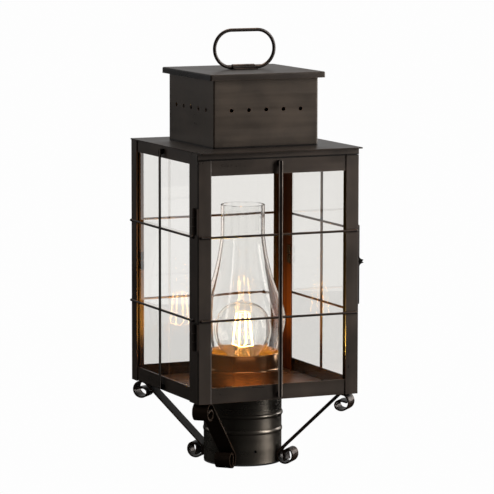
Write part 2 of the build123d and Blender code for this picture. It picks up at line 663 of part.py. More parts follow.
def door_clips():
    """Four bent clips that hold the pane to the door's rails."""
    low, high = door_glass_ends()
    back = DOOR_BACK - GLASS
    # Drawn as (distance in front of the axis, beyond the pane's edge)
    points = [(DOOR_BACK, FIT_GAP), (back, FIT_GAP), (back, -CLIP_REACH),
              (back - CLIP_SHEET, -CLIP_REACH), (back - CLIP_SHEET, FIT_GAP + CLIP_SHEET),
              (DOOR_BACK - CLIP_SHEET, FIT_GAP + CLIP_SHEET),
              (DOOR_BACK - CLIP_SHEET, FIT_GAP + CLIP_REACH), (DOOR_BACK, FIT_GAP + CLIP_REACH)]
    clips = []
    for edge, sign in ((low, -1), (high, 1)):
        section = outline([(-front, edge + sign * beyond) for front, beyond in points])
        for side in (LEFT, RIGHT):
            middle = side * CLIP_SPREAD
            clips.append(along_x(section, middle - CLIP_WIDTH / 2, middle + CLIP_WIDTH / 2))
    return clips


# ---------------------------------------------------------------- hinges and latch
def hinge_levels(centre):
    """Heights between which each knuckle of a hinge stands, from the bottom."""
    pitch = HINGE_LENGTH / KNUCKLES
    bottom = centre - HINGE_LENGTH / 2
    gap = KNUCKLE_GAP / 2
    return [(bottom + pitch * i + (gap if i else 0),
             bottom + pitch * (i + 1) - (gap if i < KNUCKLES - 1 else 0)) for i in range(KNUCKLES)]


def knuckle(z_ends):
    """One knuckle's barrel with its pin bore."""
    barrel = disc(KNUCKLE_DIAMETER / 2, *z_ends, at=(HINGE_X, HINGE_Y))
    bore = disc(HINGE_PIN_DIAMETER / 2 + HINGE_PIN_PLAY, *z_ends, at=(HINGE_X, HINGE_Y))
    return barrel, bore


def hinge_leaf(centre, on_door):
    """A leaf with its knuckles: the middle one is the door's, the others the post's."""
    sign = -1 if on_door else 1
    leaf_x = (-(DOOR_HALF + HINGE_SHEET), -DOOR_HALF if on_door else -HALF)
    clear = KNUCKLE_DIAMETER / 2 + KNUCKLE_GAP
    far = DOOR_FRONT + HINGE_Y if on_door else HINGE_POST_LEAF
    plate_y = sorted((HINGE_Y + sign * clear, HINGE_Y + sign * far))
    bottom = centre - HINGE_LENGTH / 2
    leaf = block(leaf_x, plate_y, (bottom, bottom + HINGE_LENGTH))
    bores = []
    for index, z_ends in enumerate(hinge_levels(centre)):
        if (index % 2 == 1) != on_door:
            continue
        barrel, bore = knuckle(z_ends)
        tongue_x = (leaf_x[0], -DOOR_HALF)
        tongue = block(tongue_x, sorted((HINGE_Y, HINGE_Y + sign * clear)), z_ends)
        leaf = leaf + barrel + tongue
        bores.append(bore)
    for bore in bores:
        leaf -= bore
    return leaf


def hinge_pin(centre):
    """Pin through the knuckles with a small head at each end."""
    half = HINGE_LENGTH / 2
    place = (HINGE_X, HINGE_Y)
    pin = disc(HINGE_PIN_DIAMETER / 2, centre - half, centre + half, place)
    for low, high in ((centre - half - PIN_HEAD_HEIGHT, centre - half),
                      (centre + half, centre + half + PIN_HEAD_HEIGHT)):
        pin += disc(PIN_HEAD_DIAMETER / 2, low, high, place)
    return pin


def latch_strip():
    """Spring strip on the door's free edge that hugs the body's side."""
    plate = Pos(-DOOR_FRONT + LATCH_DEPTH / 2, LATCH_Z) * RectangleRounded(
        LATCH_DEPTH, LATCH_LENGTH, LATCH_CORNER_RADIUS)
    return along_x(plate, DOOR_HALF, DOOR_HALF + LATCH_SHEET)


def latch_grip():
    """Pinched thumb piece: two folded legs that meet and splay into two tips."""
    base = DOOR_HALF + LATCH_SHEET
    pinch = base + GRIP_REACH * 0.72
    tip = base + GRIP_REACH
    # Upper half as (x, height above the grip's middle)
    back = (Line((base, GRIP_FOOT), (base, GRIP_FOOT - GRIP_REACH * 0.5))
            + ThreePointArc((base, GRIP_FOOT - GRIP_REACH * 0.5),
                            (base + GRIP_REACH * 0.28, GRIP_TIP * 0.9), (base + GRIP_REACH * 0.4, 0))
            + Line((base + GRIP_REACH * 0.4, 0), (pinch, 0)) + Line((pinch, 0), (tip, GRIP_TIP - GRIP_SHEET)))
    front = (Line((tip, GRIP_TIP - GRIP_SHEET), (tip, GRIP_TIP))
             + ThreePointArc((tip, GRIP_TIP), (base + GRIP_REACH * 0.42, GRIP_FOOT * 0.42),
                             (base + GRIP_SHEET * 0.4, GRIP_FOOT))
             + Line((base + GRIP_SHEET * 0.4, GRIP_FOOT), (base, GRIP_FOOT)))
    leg = make_face(back + front)
    section = Pos(0, LATCH_Z + GRIP_RAISE) * (leg + mirror(leg, Plane.XZ))
    middle = -DOOR_FRONT + LATCH_DEPTH / 2
    return along_y(section, middle - GRIP_WIDTH / 2, middle + GRIP_WIDTH / 2)


# ---------------------------------------------------------------- cup and chimney
def chimney_cup():
    """Spun cup with a rolled rim and a bead, open at the floor for the lamp holder."""
    radius = CUP_DIAMETER / 2
    inner = radius - CUP_SHEET
    rim = CUP_RIM_BEAD / 2
    hole = SOCKET_DIAMETER / 2 + SOCKET_HOLE_PLAY
    bead = FLOOR_TOP + CUP_BEAD_Z
    wall = outline([(hole, FLOOR_TOP), (radius, FLOOR_TOP), (radius, CUP_TOP - rim),
                    (inner, CUP_TOP - rim), (inner, CUP_FLOOR), (hole, CUP_FLOOR)])
    half = BEAD_HALF_HEIGHT * 0.7
    swell = make_face(ThreePointArc((radius, bead - half), (radius + CUP_BEAD_RISE, bead),
                                    (radius, bead + half)) + Line((radius, bead + half), (radius, bead - half)))
    profile = wall + swell + Pos(inner + rim, CUP_TOP - rim) * Circle(rim)
    cup = turned(profile)
    for place in rivet_places():
        cup -= disc(RIVET_DIAMETER / 2, FLOOR_TOP, CUP_FLOOR, place)
    return cup


def chimney_line(inset):
    """The chimney's flowing side as (radius, height), set in by inset."""
    exit_height = CUP_TOP - CHIMNEY_BOTTOM
    shoulder = (CHIMNEY_BULGE_RADIUS + CHIMNEY_NECK_RADIUS) / 2
    shoulder_height = CHIMNEY_BULGE_HEIGHT + (CHIMNEY_NECK_HEIGHT - CHIMNEY_BULGE_HEIGHT) * 0.42
    points = [(CHIMNEY_BASE_RADIUS, 0), (CHIMNEY_CUP_RADIUS, exit_height),
              (CHIMNEY_BULGE_RADIUS, CHIMNEY_BULGE_HEIGHT), (shoulder, shoulder_height),
              (CHIMNEY_NECK_RADIUS, CHIMNEY_NECK_HEIGHT), (CHIMNEY_NECK_RADIUS, CHIMNEY_HEIGHT)]
    return Spline(*[(r - inset, CHIMNEY_BOTTOM + z) for r, z in points], tangents=[(0.05, 1), (0, 1)])


def glass_chimney():
    """Blown glass chimney: full bulge over the cup and a straight neck."""
    outside, inside = chimney_line(0), chimney_line(CHIMNEY_WALL)
    top = CHIMNEY_BOTTOM + CHIMNEY_HEIGHT
    neck = CHIMNEY_NECK_RADIUS
    lip = ThreePointArc((neck, top), (neck - CHIMNEY_WALL / 2, top + CHIMNEY_WALL / 2),
                        (neck - CHIMNEY_WALL, top))
    foot = Line((CHIMNEY_BASE_RADIUS, CHIMNEY_BOTTOM), (CHIMNEY_BASE_RADIUS - CHIMNEY_WALL, CHIMNEY_BOTTOM))
    return turned(make_face(outside + inside + lip + foot))


# ---------------------------------------------------------------- lamp holder and bulb
def socket_bridge():
    """Strap hung under the base plate that carries the lamp holder."""
    leg = SOCKET_DIAMETER / 2 + SOCKET_HOLE_PLAY
    outer = leg + SHEET
    reach = outer + BRIDGE_TAB
    low = FITTER_HEIGHT - BRIDGE_DROP
    half = [(0, low), (outer, low), (outer, FITTER_HEIGHT - SHEET), (reach, FITTER_HEIGHT - SHEET),
            (reach, FITTER_HEIGHT), (leg, FITTER_HEIGHT), (leg, low + SHEET), (0, low + SHEET)]
    other = [(-x, z) for x, z in reversed(half[1:-1])]
    strap = along_y(outline(half + other), -BRIDGE_WIDTH / 2, BRIDGE_WIDTH / 2)
    strap -= disc(NIPPLE_DIAMETER / 2, low, low + SHEET)
    for place in rivet_places():
        strap -= disc(RIVET_DIAMETER / 2, FITTER_HEIGHT - SHEET, FITTER_HEIGHT, place)
    return strap


def bridge_rivets():
    """Two rivets through cup, base plate and bridge."""
    rivets = []
    for place in rivet_places():
        bottom = FITTER_HEIGHT - SHEET
        shank = disc(RIVET_DIAMETER / 2, bottom, CUP_FLOOR, place)
        dome = RIVET_HEAD_DIAMETER / 2
        head = make_face(ThreePointArc((-dome, 0), (0, RIVET_HEAD_HEIGHT), (dome, 0)) + Line((dome, 0), (-dome, 0)))
        half = head & Pos(dome / 2, 0) * Rectangle(dome, 4 * RIVET_HEAD_HEIGHT)
        cap = turned(half)
        upper = Pos(place[0], place[1], CUP_FLOOR) * cap
        lower = Pos(place[0], place[1], bottom) * Rot(180, 0, 0) * cap
        rivets.append(shank + upper + lower)
    return rivets


def socket_body():
    """Moulded lamp holder with a stepped outside and a floor for the contact."""
    radius = SOCKET_DIAMETER / 2
    bore = radius - SOCKET_WALL
    step = radius - SOCKET_WALL / 2
    waist = BRIDGE_TOP + SOCKET_HEIGHT * 0.45
    hole = NIPPLE_DIAMETER / 2
    points = [(hole, BRIDGE_TOP), (step, BRIDGE_TOP), (step, waist), (radius, waist + SOCKET_WALL / 2),
              (radius, SOCKET_TOP), (bore, SOCKET_TOP), (bore, SOCKET_SEAT), (hole, SOCKET_SEAT)]
    return turned(outline(points))


def socket_shell():
    """Metal screw shell lining the lamp holder."""
    outer = SOCKET_DIAMETER / 2 - SOCKET_WALL
    inner = CAP_DIAMETER / 2 + SHELL_PLAY
    floor = SOCKET_SEAT + 2 * SPRING_SHEET
    ring = [(inner, floor), (outer, floor), (outer, floor + SHELL_HEIGHT), (inner, floor + SHELL_HEIGHT)]
    return turned(outline(ring))


def socket_contact():
    """Centre contact: a strip across the lamp holder's floor."""
    length = min(SPRING_LENGTH, 2 * (CAP_DIAMETER / 2 - SPRING_SHEET))
    return block((-length / 2, length / 2), (-SPRING_WIDTH / 2, SPRING_WIDTH / 2), (SOCKET_SEAT, SPRING_TOP))


def socket_nipple():
    """Hollow threaded tube that holds the lamp holder to the bridge."""
    top = SOCKET_SEAT
    ring = Circle(NIPPLE_DIAMETER / 2) - Circle(NIPPLE_BORE / 2)
    return extrude(Pos(0, 0, top - NIPPLE_LENGTH) * ring, NIPPLE_LENGTH)


def nipple_nut():
    """Hexagonal nut under the bridge."""
    top = FITTER_HEIGHT - BRIDGE_DROP
    flats = RegularPolygon(NIPPLE_NUT_WIDTH / 2, 6, major_radius=False) - Circle(NIPPLE_DIAMETER / 2)
    return extrude(Pos(0, 0, top - NIPPLE_NUT_HEIGHT) * flats, NIPPLE_NUT_HEIGHT)


def bulb_profile(inset):
    """The bulb's side as (radius, height): globe, then a curved shoulder into the neck."""
    radius = BULB_DIAMETER / 2 - inset
    neck = BULB_NECK_RADIUS - inset
    leave = -38.0
    start = (radius * cos(radians(leave)), BULB_CENTRE_Z + radius * sin(radians(leave)))
    globe = CenterArc((0, BULB_CENTRE_Z), radius, leave, 90 - leave)
    direction = (-sin(radians(-leave)), -cos(radians(leave)))
    shoulder = Spline(start, (neck, CAP_TOP), tangents=[direction, (0, -1)])
    return globe, shoulder, neck


def bulb_envelope():
    """Clear globe with the glass stem that carries the filaments, as one piece of glass."""
    globe, shoulder, neck = bulb_profile(0)
    inner_globe, inner_shoulder, inner_neck = bulb_profile(BULB_WALL)
    top = BULB_CENTRE_Z + BULB_DIAMETER / 2
    shell = make_face(globe + shoulder + Line((neck, CAP_TOP), (inner_neck, CAP_TOP))
                      + inner_shoulder + inner_globe + Line((0, top - BULB_WALL), (0, top)))
    stem_top = BULB_CENTRE_Z - STEM_TOP_BELOW_CENTRE
    stem = outline([(0, CAP_TOP), (inner_neck + BULB_WALL / 2, CAP_TOP),
                    (inner_neck + BULB_WALL / 2, CAP_TOP + BULB_WALL),
                    (STEM_RADIUS * 1.6, CAP_TOP + 3 * BULB_WALL), (STEM_RADIUS, stem_top), (0, stem_top)])
    return turned(shell + stem)


def filament_ends():
    """Lower and upper end of each filament."""
    middle = BULB_CENTRE_Z + FILAMENT_RAISE
    ends = []
    for step in range(FILAMENTS):
        angle = 360 / FILAMENTS * step + 45
        lean = FILAMENT_LENGTH / 2 * sin(radians(FILAMENT_TILT))
        low = arc_point((0, 0), FILAMENT_CIRCLE + lean, angle)
        high = arc_point((0, 0), FILAMENT_CIRCLE - lean, angle)
        rise = FILAMENT_LENGTH / 2 * cos(radians(FILAMENT_TILT))
        ends.append(((*low, middle - rise), (*high, middle + rise)))
    return ends


def rod(start, end, radius):
    """A round rod between two points."""
    axis = Vector(*end) - Vector(*start)
    return extrude(Plane(start, z_dir=axis) * Circle(radius), axis.length)


def bulb_filaments():
    """Four filament sticks on wire legs from the stem, joined at the top by a wire ring."""
    wire = FILAMENT_DIAMETER / 4
    stem_top = BULB_CENTRE_Z - STEM_TOP_BELOW_CENTRE
    group = disc(STEM_RADIUS * 0.7, stem_top, stem_top + wire * 2)
    hub_z = stem_top + wire
    for low, high in filament_ends():
        group += rod(low, high, FILAMENT_DIAMETER / 2)
        group += rod((0, 0, hub_z), (low[0], low[1], low[2] + wire), wire)
    top_z = filament_ends()[0][1][2] - wire
    circle = hypot(*filament_ends()[0][1][:2])
    group += Pos(0, 0, top_z) * Torus(circle, wire)
    return group


def bulb_cap():
    """Screw cap of the bulb: a can with a chamfered lower edge."""
    radius = CAP_DIAMETER / 2
    chamfer_size = radius * 0.3
    points = [(0, CAP_BOTTOM), (radius - chamfer_size, CAP_BOTTOM), (radius, CAP_BOTTOM + chamfer_size),
              (radius, CAP_TOP), (0, CAP_TOP)]
    return turned(outline(points))


def bulb_contact():
    """Insulated centre contact of the bulb."""
    return turned(outline([(0, BULB_BOTTOM), (CONTACT_DIAMETER / 4, BULB_BOTTOM),
                           (CONTACT_DIAMETER / 2, CAP_BOTTOM), (0, CAP_BOTTOM)]))


# ---------------------------------------------------------------- assembly
def body_nodes():
    """Fitter, base, frame, glass and guards of the fixed body."""
    nodes = {"post_fitter": post_fitter(), "base_plate": base_plate(), "front_header": front_header(),
             "back_bottom_rail": back_bottom_rail(), "back_top_rail": back_top_rail(),
             "glass_back": fixed_pane_back(), "glass_tabs": glass_tabs()}
    bracket = scroll_bracket()
    angles = []
    for name, side, side_leg in (("left", LEFT, LEFT_ANGLE_LEG), ("right", RIGHT, RIGHT_ANGLE_LEG)):
        for end_name, end in (("front", FRONT), ("back", BACK)):
            corner_angle = degrees(atan2(end, side))
            nodes[f"scroll_bracket_{end_name}_{name}"] = Rot(0, 0, corner_angle) * bracket
        front = corner_post(FRONT_SIDE_FLANGE, FRONT_FLANGE, FRONT)
        back = corner_post(BACK_SIDE_FLANGE, BACK_FLANGE, BACK)
        nodes[f"corner_post_front_{name}"] = flipped(front, side)
        nodes[f"corner_post_back_{name}"] = flipped(back, side)
        nodes[f"{name}_bottom_rail"] = flipped(side_bottom_rail(), side)
        nodes[f"{name}_top_rail"] = flipped(side_top_rail(), side)
        nodes[f"glass_{name}"] = flipped(fixed_pane_side(), side)
        angles.append(flipped(glazing_angle(BACK, side_leg, END_ANGLE_LEG), side))
        angles.append(flipped(glazing_angle(FRONT, FRONT_ANGLE_LEG, FRONT_ANGLE_RETURN), side))
    nodes["glazing_angles"] = angles
    return nodes


def guard_nodes():
    """Guard wires of the three fixed faces."""
    low = BODY_BOTTOM + UPRIGHT_END_MARGIN
    high = BODY_TOP - UPRIGHT_END_MARGIN
    wire = guard_upright(HALF, RAIL_FACE, low, high)
    front_end = -(HALF - HINGE_SIDE_BAR_MARGIN)
    back_end = HALF - BAR_END_MARGIN
    side_middle = (FRONT_SIDE_FLANGE - BACK_SIDE_FLANGE) / 2
    bars = guard_bars(HALF, front_end, back_end)
    nodes = {}
    for name, side in (("left", LEFT), ("right", RIGHT)):
        nodes[f"guard_bars_{name}"] = [bar if side == RIGHT else mirror(bar, Plane.YZ) for bar in bars]
        nodes[f"guard_upright_{name}"] = Pos(0, side_middle, 0) * (wire if side == RIGHT
                                                                  else mirror(wire, Plane.YZ))
    nodes["guard_bars_back"] = [quarter(bar, 1) for bar in guard_bars(HALF, -back_end, back_end)]
    nodes["guard_upright_back"] = quarter(wire, 1)
    return nodes


def top_nodes():
    """Roof, stack, lid, ring and its strap."""
    return {"roof_plate": roof_plate(), "vent_stack": vent_stack(), "stack_lid": stack_lid(),
            "ring_strap": ring_strap(), "carrying_ring": carrying_ring()}


def door_nodes():
    """The door with its glass, guards, hinges and latch."""
    bottom_rail_top = DOOR_BOTTOM + DOOR_BOTTOM_RAIL
    top_rail_bottom = DOOR_TOP - DOOR_TOP_RAIL
    bar_end = DOOR_HALF - BAR_END_MARGIN
    low, high = DOOR_BOTTOM + UPRIGHT_END_MARGIN, DOOR_TOP - UPRIGHT_END_MARGIN
    bars = guard_bars(DOOR_FRONT, -bar_end, bar_end)
    wire = guard_upright(DOOR_FRONT, DOOR_RAIL_FRONT, low, high)
    return {"door_hinge_stile": door_stile(), "door_latch_stile": flipped(door_stile(), RIGHT),
            "door_bottom_rail": door_rail(DOOR_BOTTOM, bottom_rail_top),
            "door_top_rail": door_rail(top_rail_bottom, DOOR_TOP),
            "door_glass": door_glass(), "door_glass_clips": door_clips(),
            "door_guard_bars": [quarter(bar, -1) for bar in bars],
            "door_guard_upright": quarter(wire, -1),
            "hinge_leaves_door": [hinge_leaf(z, True) for z in HINGE_LEVELS],
            "hinge_leaves_post": [hinge_leaf(z, False) for z in HINGE_LEVELS],
            "hinge_pins": [hinge_pin(z) for z in HINGE_LEVELS],
            "latch_strip": latch_strip(), "latch_grip": latch_grip()}


def lamp_nodes():
    """Cup, chimney, lamp holder and bulb."""
    return {"chimney_cup": chimney_cup(), "glass_chimney": glass_chimney(),
            "socket_bridge": socket_bridge(), "bridge_rivets": bridge_rivets(),
            "socket_body": socket_body(), "socket_shell": socket_shell(),
            "socket_contact": socket_contact(), "socket_nipple": socket_nipple(),
            "nipple_nut": nipple_nut(), "bulb_envelope": bulb_envelope(),
            "bulb_filaments": bulb_filaments(), "bulb_cap": bulb_cap(), "bulb_contact": bulb_contact()}


def main():
    """Build every piece and write one file per node."""
    os.makedirs("parts", exist_ok=True)
    nodes = {**body_nodes(), **guard_nodes(), **top_nodes(), **door_nodes(), **lamp_nodes()}
    for name, shape in nodes.items():
        if isinstance(shape, list):
            shape = Compound(children=[solid for piece in shape for solid in piece.solids()])
        export_step(shape, f"parts/{name}.step")
    print(len(nodes), "nodes")


main()
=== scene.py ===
"""Looks of the post top lantern: finishes, small details, studio and camera.

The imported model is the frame. Every finish is procedural, and every added piece
rides on a body of the frame. Lengths are metres, in the frame's own axes: +Z up,
the door faces -Y, and the origin is on the post fitter's axis at its lower rim.
"""
import json
import logging
import math
from dataclasses import dataclass, replace
from enum import Enum
from typing import Callable, ClassVar, Iterable, Iterator, Sequence

import bmesh
import bpy
from mathutils import Matrix, Quaternion, Vector


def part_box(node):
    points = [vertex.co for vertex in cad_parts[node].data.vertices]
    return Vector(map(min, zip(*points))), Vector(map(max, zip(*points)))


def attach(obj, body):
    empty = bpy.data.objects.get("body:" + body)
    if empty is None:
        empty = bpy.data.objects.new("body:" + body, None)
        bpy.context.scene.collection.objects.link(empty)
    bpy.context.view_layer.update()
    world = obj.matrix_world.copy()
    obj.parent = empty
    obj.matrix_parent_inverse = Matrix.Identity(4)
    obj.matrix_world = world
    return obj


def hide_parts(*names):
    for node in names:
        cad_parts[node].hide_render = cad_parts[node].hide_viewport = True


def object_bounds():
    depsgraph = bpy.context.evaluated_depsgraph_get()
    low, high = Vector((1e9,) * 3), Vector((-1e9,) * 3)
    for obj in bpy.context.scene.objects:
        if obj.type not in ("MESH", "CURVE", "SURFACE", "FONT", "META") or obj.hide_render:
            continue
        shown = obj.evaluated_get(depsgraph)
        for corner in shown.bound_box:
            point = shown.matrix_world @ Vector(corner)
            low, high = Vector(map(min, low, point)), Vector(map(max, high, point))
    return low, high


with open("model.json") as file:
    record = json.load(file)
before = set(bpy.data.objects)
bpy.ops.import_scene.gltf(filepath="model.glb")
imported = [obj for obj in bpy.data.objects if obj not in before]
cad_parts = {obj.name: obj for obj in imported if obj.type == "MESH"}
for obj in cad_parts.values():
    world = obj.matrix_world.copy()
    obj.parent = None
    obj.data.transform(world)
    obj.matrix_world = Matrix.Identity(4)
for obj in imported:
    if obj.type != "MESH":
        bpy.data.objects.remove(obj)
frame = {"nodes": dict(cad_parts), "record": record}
CAD_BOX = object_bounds()

MM = 0.001
PHOTO_SIDE = 494                    # pixels, square
FITTER_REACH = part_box("post_fitter")[1].x
Triple = tuple[float, float, float]
Colour = Triple                     # linear red, green and blue
Place = Triple                      # metres along X, Y and Z
Range = tuple[float, ...]           # from and to, and the results at both where they aren't 0 and 1
Pattern = tuple[float, ...]         # features per metre, octaves and strength of the finer ones
Patches = tuple[Pattern, Range]     # a noise pattern, and the range that it is cut to
Node, NodeTree, Socket = bpy.types.Node, bpy.types.NodeTree, bpy.types.NodeSocket
Material, Piece = bpy.types.Material, bpy.types.Object
Mesh, Vert = bmesh.types.BMesh, bmesh.types.BMVert

# black of painted shade: on the glazing angles' front and top, and inside the stack
DEEP_SHADE: Colour = (0.0006, 0.0004, 0.0003)
# near-black of painted shade: in creases, in seams and on faces turned from the light
PAINTED_SHADE: Colour = (0.004, 0.003, 0.002)
BRONZE = dict(base=(0.050, 0.040, 0.033), patch=(0.066, 0.047, 0.035), deep=(0.032, 0.025, 0.021),
              worn_and_highlight=(0.34, 0.19, 0.12), metallic=0.55)
LEVEL_BRUSH: Triple = (8.0, 8.0, 150.0)
UPRIGHT_STREAKS: Triple = (240.0, 240.0, 3.0)
DOOR_BACK = -0.0862                 # metres along Y, where the painted shade in the seam round the door's frame ends
HIGHLIGHT_EDGE = 0.0009                # width of the painted highlight along a stile's inner edge
CUP_ONLY = ("chimney_cup",)
NOISE_REACH: Range = (0.3, 0.7)     # where a noise pattern's values mostly lie

log = logging.getLogger("lantern")


class Slot(str, Enum):
    """Material slots of the record."""

    BRONZE = "bronze_metal"
    WIRE = "guard_wire"
    RING = "ring_wire"
    HINGE = "hinge_metal"
    CUP = "cup_metal"
    PANE = "pane_glass"
    CHIMNEY = "chimney_glass"
    BULB_GLASS = "bulb_glass"
    FILAMENT = "filament"
    BULB_CAP = "bulb_cap"
    BULB_CONTACT = "bulb_contact"
    SOCKET = "socket_moulding"
    BRASS = "socket_brass"
    STEEL = "plated_steel"


class Body(str, Enum):
    """Bodies of the record."""

    LANTERN = "lantern_body"
    DOOR = "door"
    BULB = "bulb"


# ---------------------------------------------------------------- shader building
class Tree:
    """Adds and joins nodes of one shader tree."""

    def __init__(self, tree: NodeTree) -> None:
        """Wraps the node tree to build in."""
        self.tree = tree

    def add(self, kind: str, **settings: object) -> Node:
        """Adds one node.

        Args:
            kind: The node's type name.
            settings: Properties of the node, such as operation.

        Returns:
            The new node.
        """
        node = self.tree.nodes.new(kind)
        for name, value in settings.items():
            setattr(node, name, value)
        return node

    def give(self, node: Node, inputs: dict[str | int, object]) -> Node:
        """Sets or links inputs of a node.

        Args:
            node: The node.
            inputs: Name or number of each input, and its constant or socket.

        Returns:
            The same node.
        """
        for name, value in inputs.items():
            if isinstance(value, Socket):
                self.tree.links.new(value, node.inputs[name])
            else:
                node.inputs[name].default_value = value
        return node

    def fill(self, kind: str, inputs: dict[str | int, object], **settings: object) -> Node:
        """Adds one node with its inputs.

        Args:
            kind: The node's type name.
            inputs: Name or number of each input, and its constant or socket.
            settings: Properties of the node.

        Returns:
            The new node.
        """
        return self.give(self.add(kind, **settings), inputs)

    def maths(self, operation: str, *values: object, clamp: bool = False) -> Socket:
        """Adds a Math node of constants or sockets, clamped to 0 and 1 if asked, and gives its result."""
        node = self.fill("ShaderNodeMath", dict(enumerate(values)), operation=operation, use_clamp=clamp)
        return node.outputs[0]

    def span(self, value: Socket, low: float, high: float, to_low: float = 0.0,
             to_high: float = 1.0) -> Socket:
        """Maps low to high onto to_low to to_high, clamped."""
        ends = {"Value": value, "From Min": low, "From Max": high, "To Min": to_low, "To Max": to_high}
        return self.fill("ShaderNodeMapRange", ends, clamp=True).outputs["Result"]

    def blend(self, factor: object, first: object, second: object) -> Socket:
        """Mixes two colours, the second by its factor."""
        return self.fill("ShaderNodeMix", {0: factor, 6: first, 7: second}, data_type="RGBA").outputs[2]

    def noise(self, place: Socket, scale: float, detail: float = 4.0,
              roughness: float = 0.55) -> Socket:
        """Adds a noise pattern."""
        inputs = {"Vector": place, "Scale": scale, "Detail": detail, "Roughness": roughness}
        return self.fill("ShaderNodeTexNoise", inputs).outputs["Fac"]

    def patches(self, pattern: Pattern, cut: Range) -> Socket:
        """Cuts a noise pattern over the whole frame to a range."""
        return self.span(self.noise(self.place(), *pattern), *cut)

    def swing(self, pattern: Socket, reach: float, middle: float = 0.0) -> Socket:
        """Turns a noise pattern into a value that swings about a middle."""
        return self.span(pattern, *NOISE_REACH, middle - reach, middle + reach)

    def place(self) -> Socket:
        """Gives the point's place in the frame."""
        return self.add("ShaderNodeTexCoord").outputs["Object"]

    def axes(self, vector: Socket) -> tuple[Socket, ...]:
        """Splits a vector into X, Y and Z."""
        return tuple(self.fill("ShaderNodeSeparateXYZ", {"Vector": vector}).outputs)

    def facing(self, kind: str = "Normal") -> tuple[Socket, ...]:
        """Gives X, Y and Z of the way that the surface faces."""
        return self.axes(self.add("ShaderNodeNewGeometry").outputs[kind])

    def size(self, value: Socket) -> Socket:
        """Drops a value's sign."""
        return self.maths("ABSOLUTE", value)

    def dot(self, first: object, second: object) -> Socket:
        """Multiplies two vectors into one number."""
        node = self.fill("ShaderNodeVectorMath", {0: first, 1: second}, operation="DOT_PRODUCT")
        return node.outputs["Value"]

    def stretched(self, place: Socket, scale: object) -> Socket:
        """Scales coordinates by a different amount along each axis."""
        return self.fill("ShaderNodeVectorMath", {0: place, 1: scale}, operation="MULTIPLY").outputs["Vector"]

    def bump(self, height: Socket, strength: float, distance: float) -> Socket:
        """Turns a height into a bent normal, by a distance in metres."""
        node = self.fill("ShaderNodeBump", {"Strength": strength, "Distance": distance, "Height": height})
        return node.outputs["Normal"]

    def mix(self, factor: Socket, first: Node, second: Node) -> Socket:
        """Mixes the shaders of two nodes, the second by its factor."""
        inputs = {0: factor, 1: first.outputs[0], 2: second.outputs[0]}
        return self.fill("ShaderNodeMixShader", inputs).outputs["Shader"]


def rgba(colour: Colour) -> tuple[float, float, float, float]:
    """Gives a colour an alpha of 1."""
    return (*colour, 1.0)


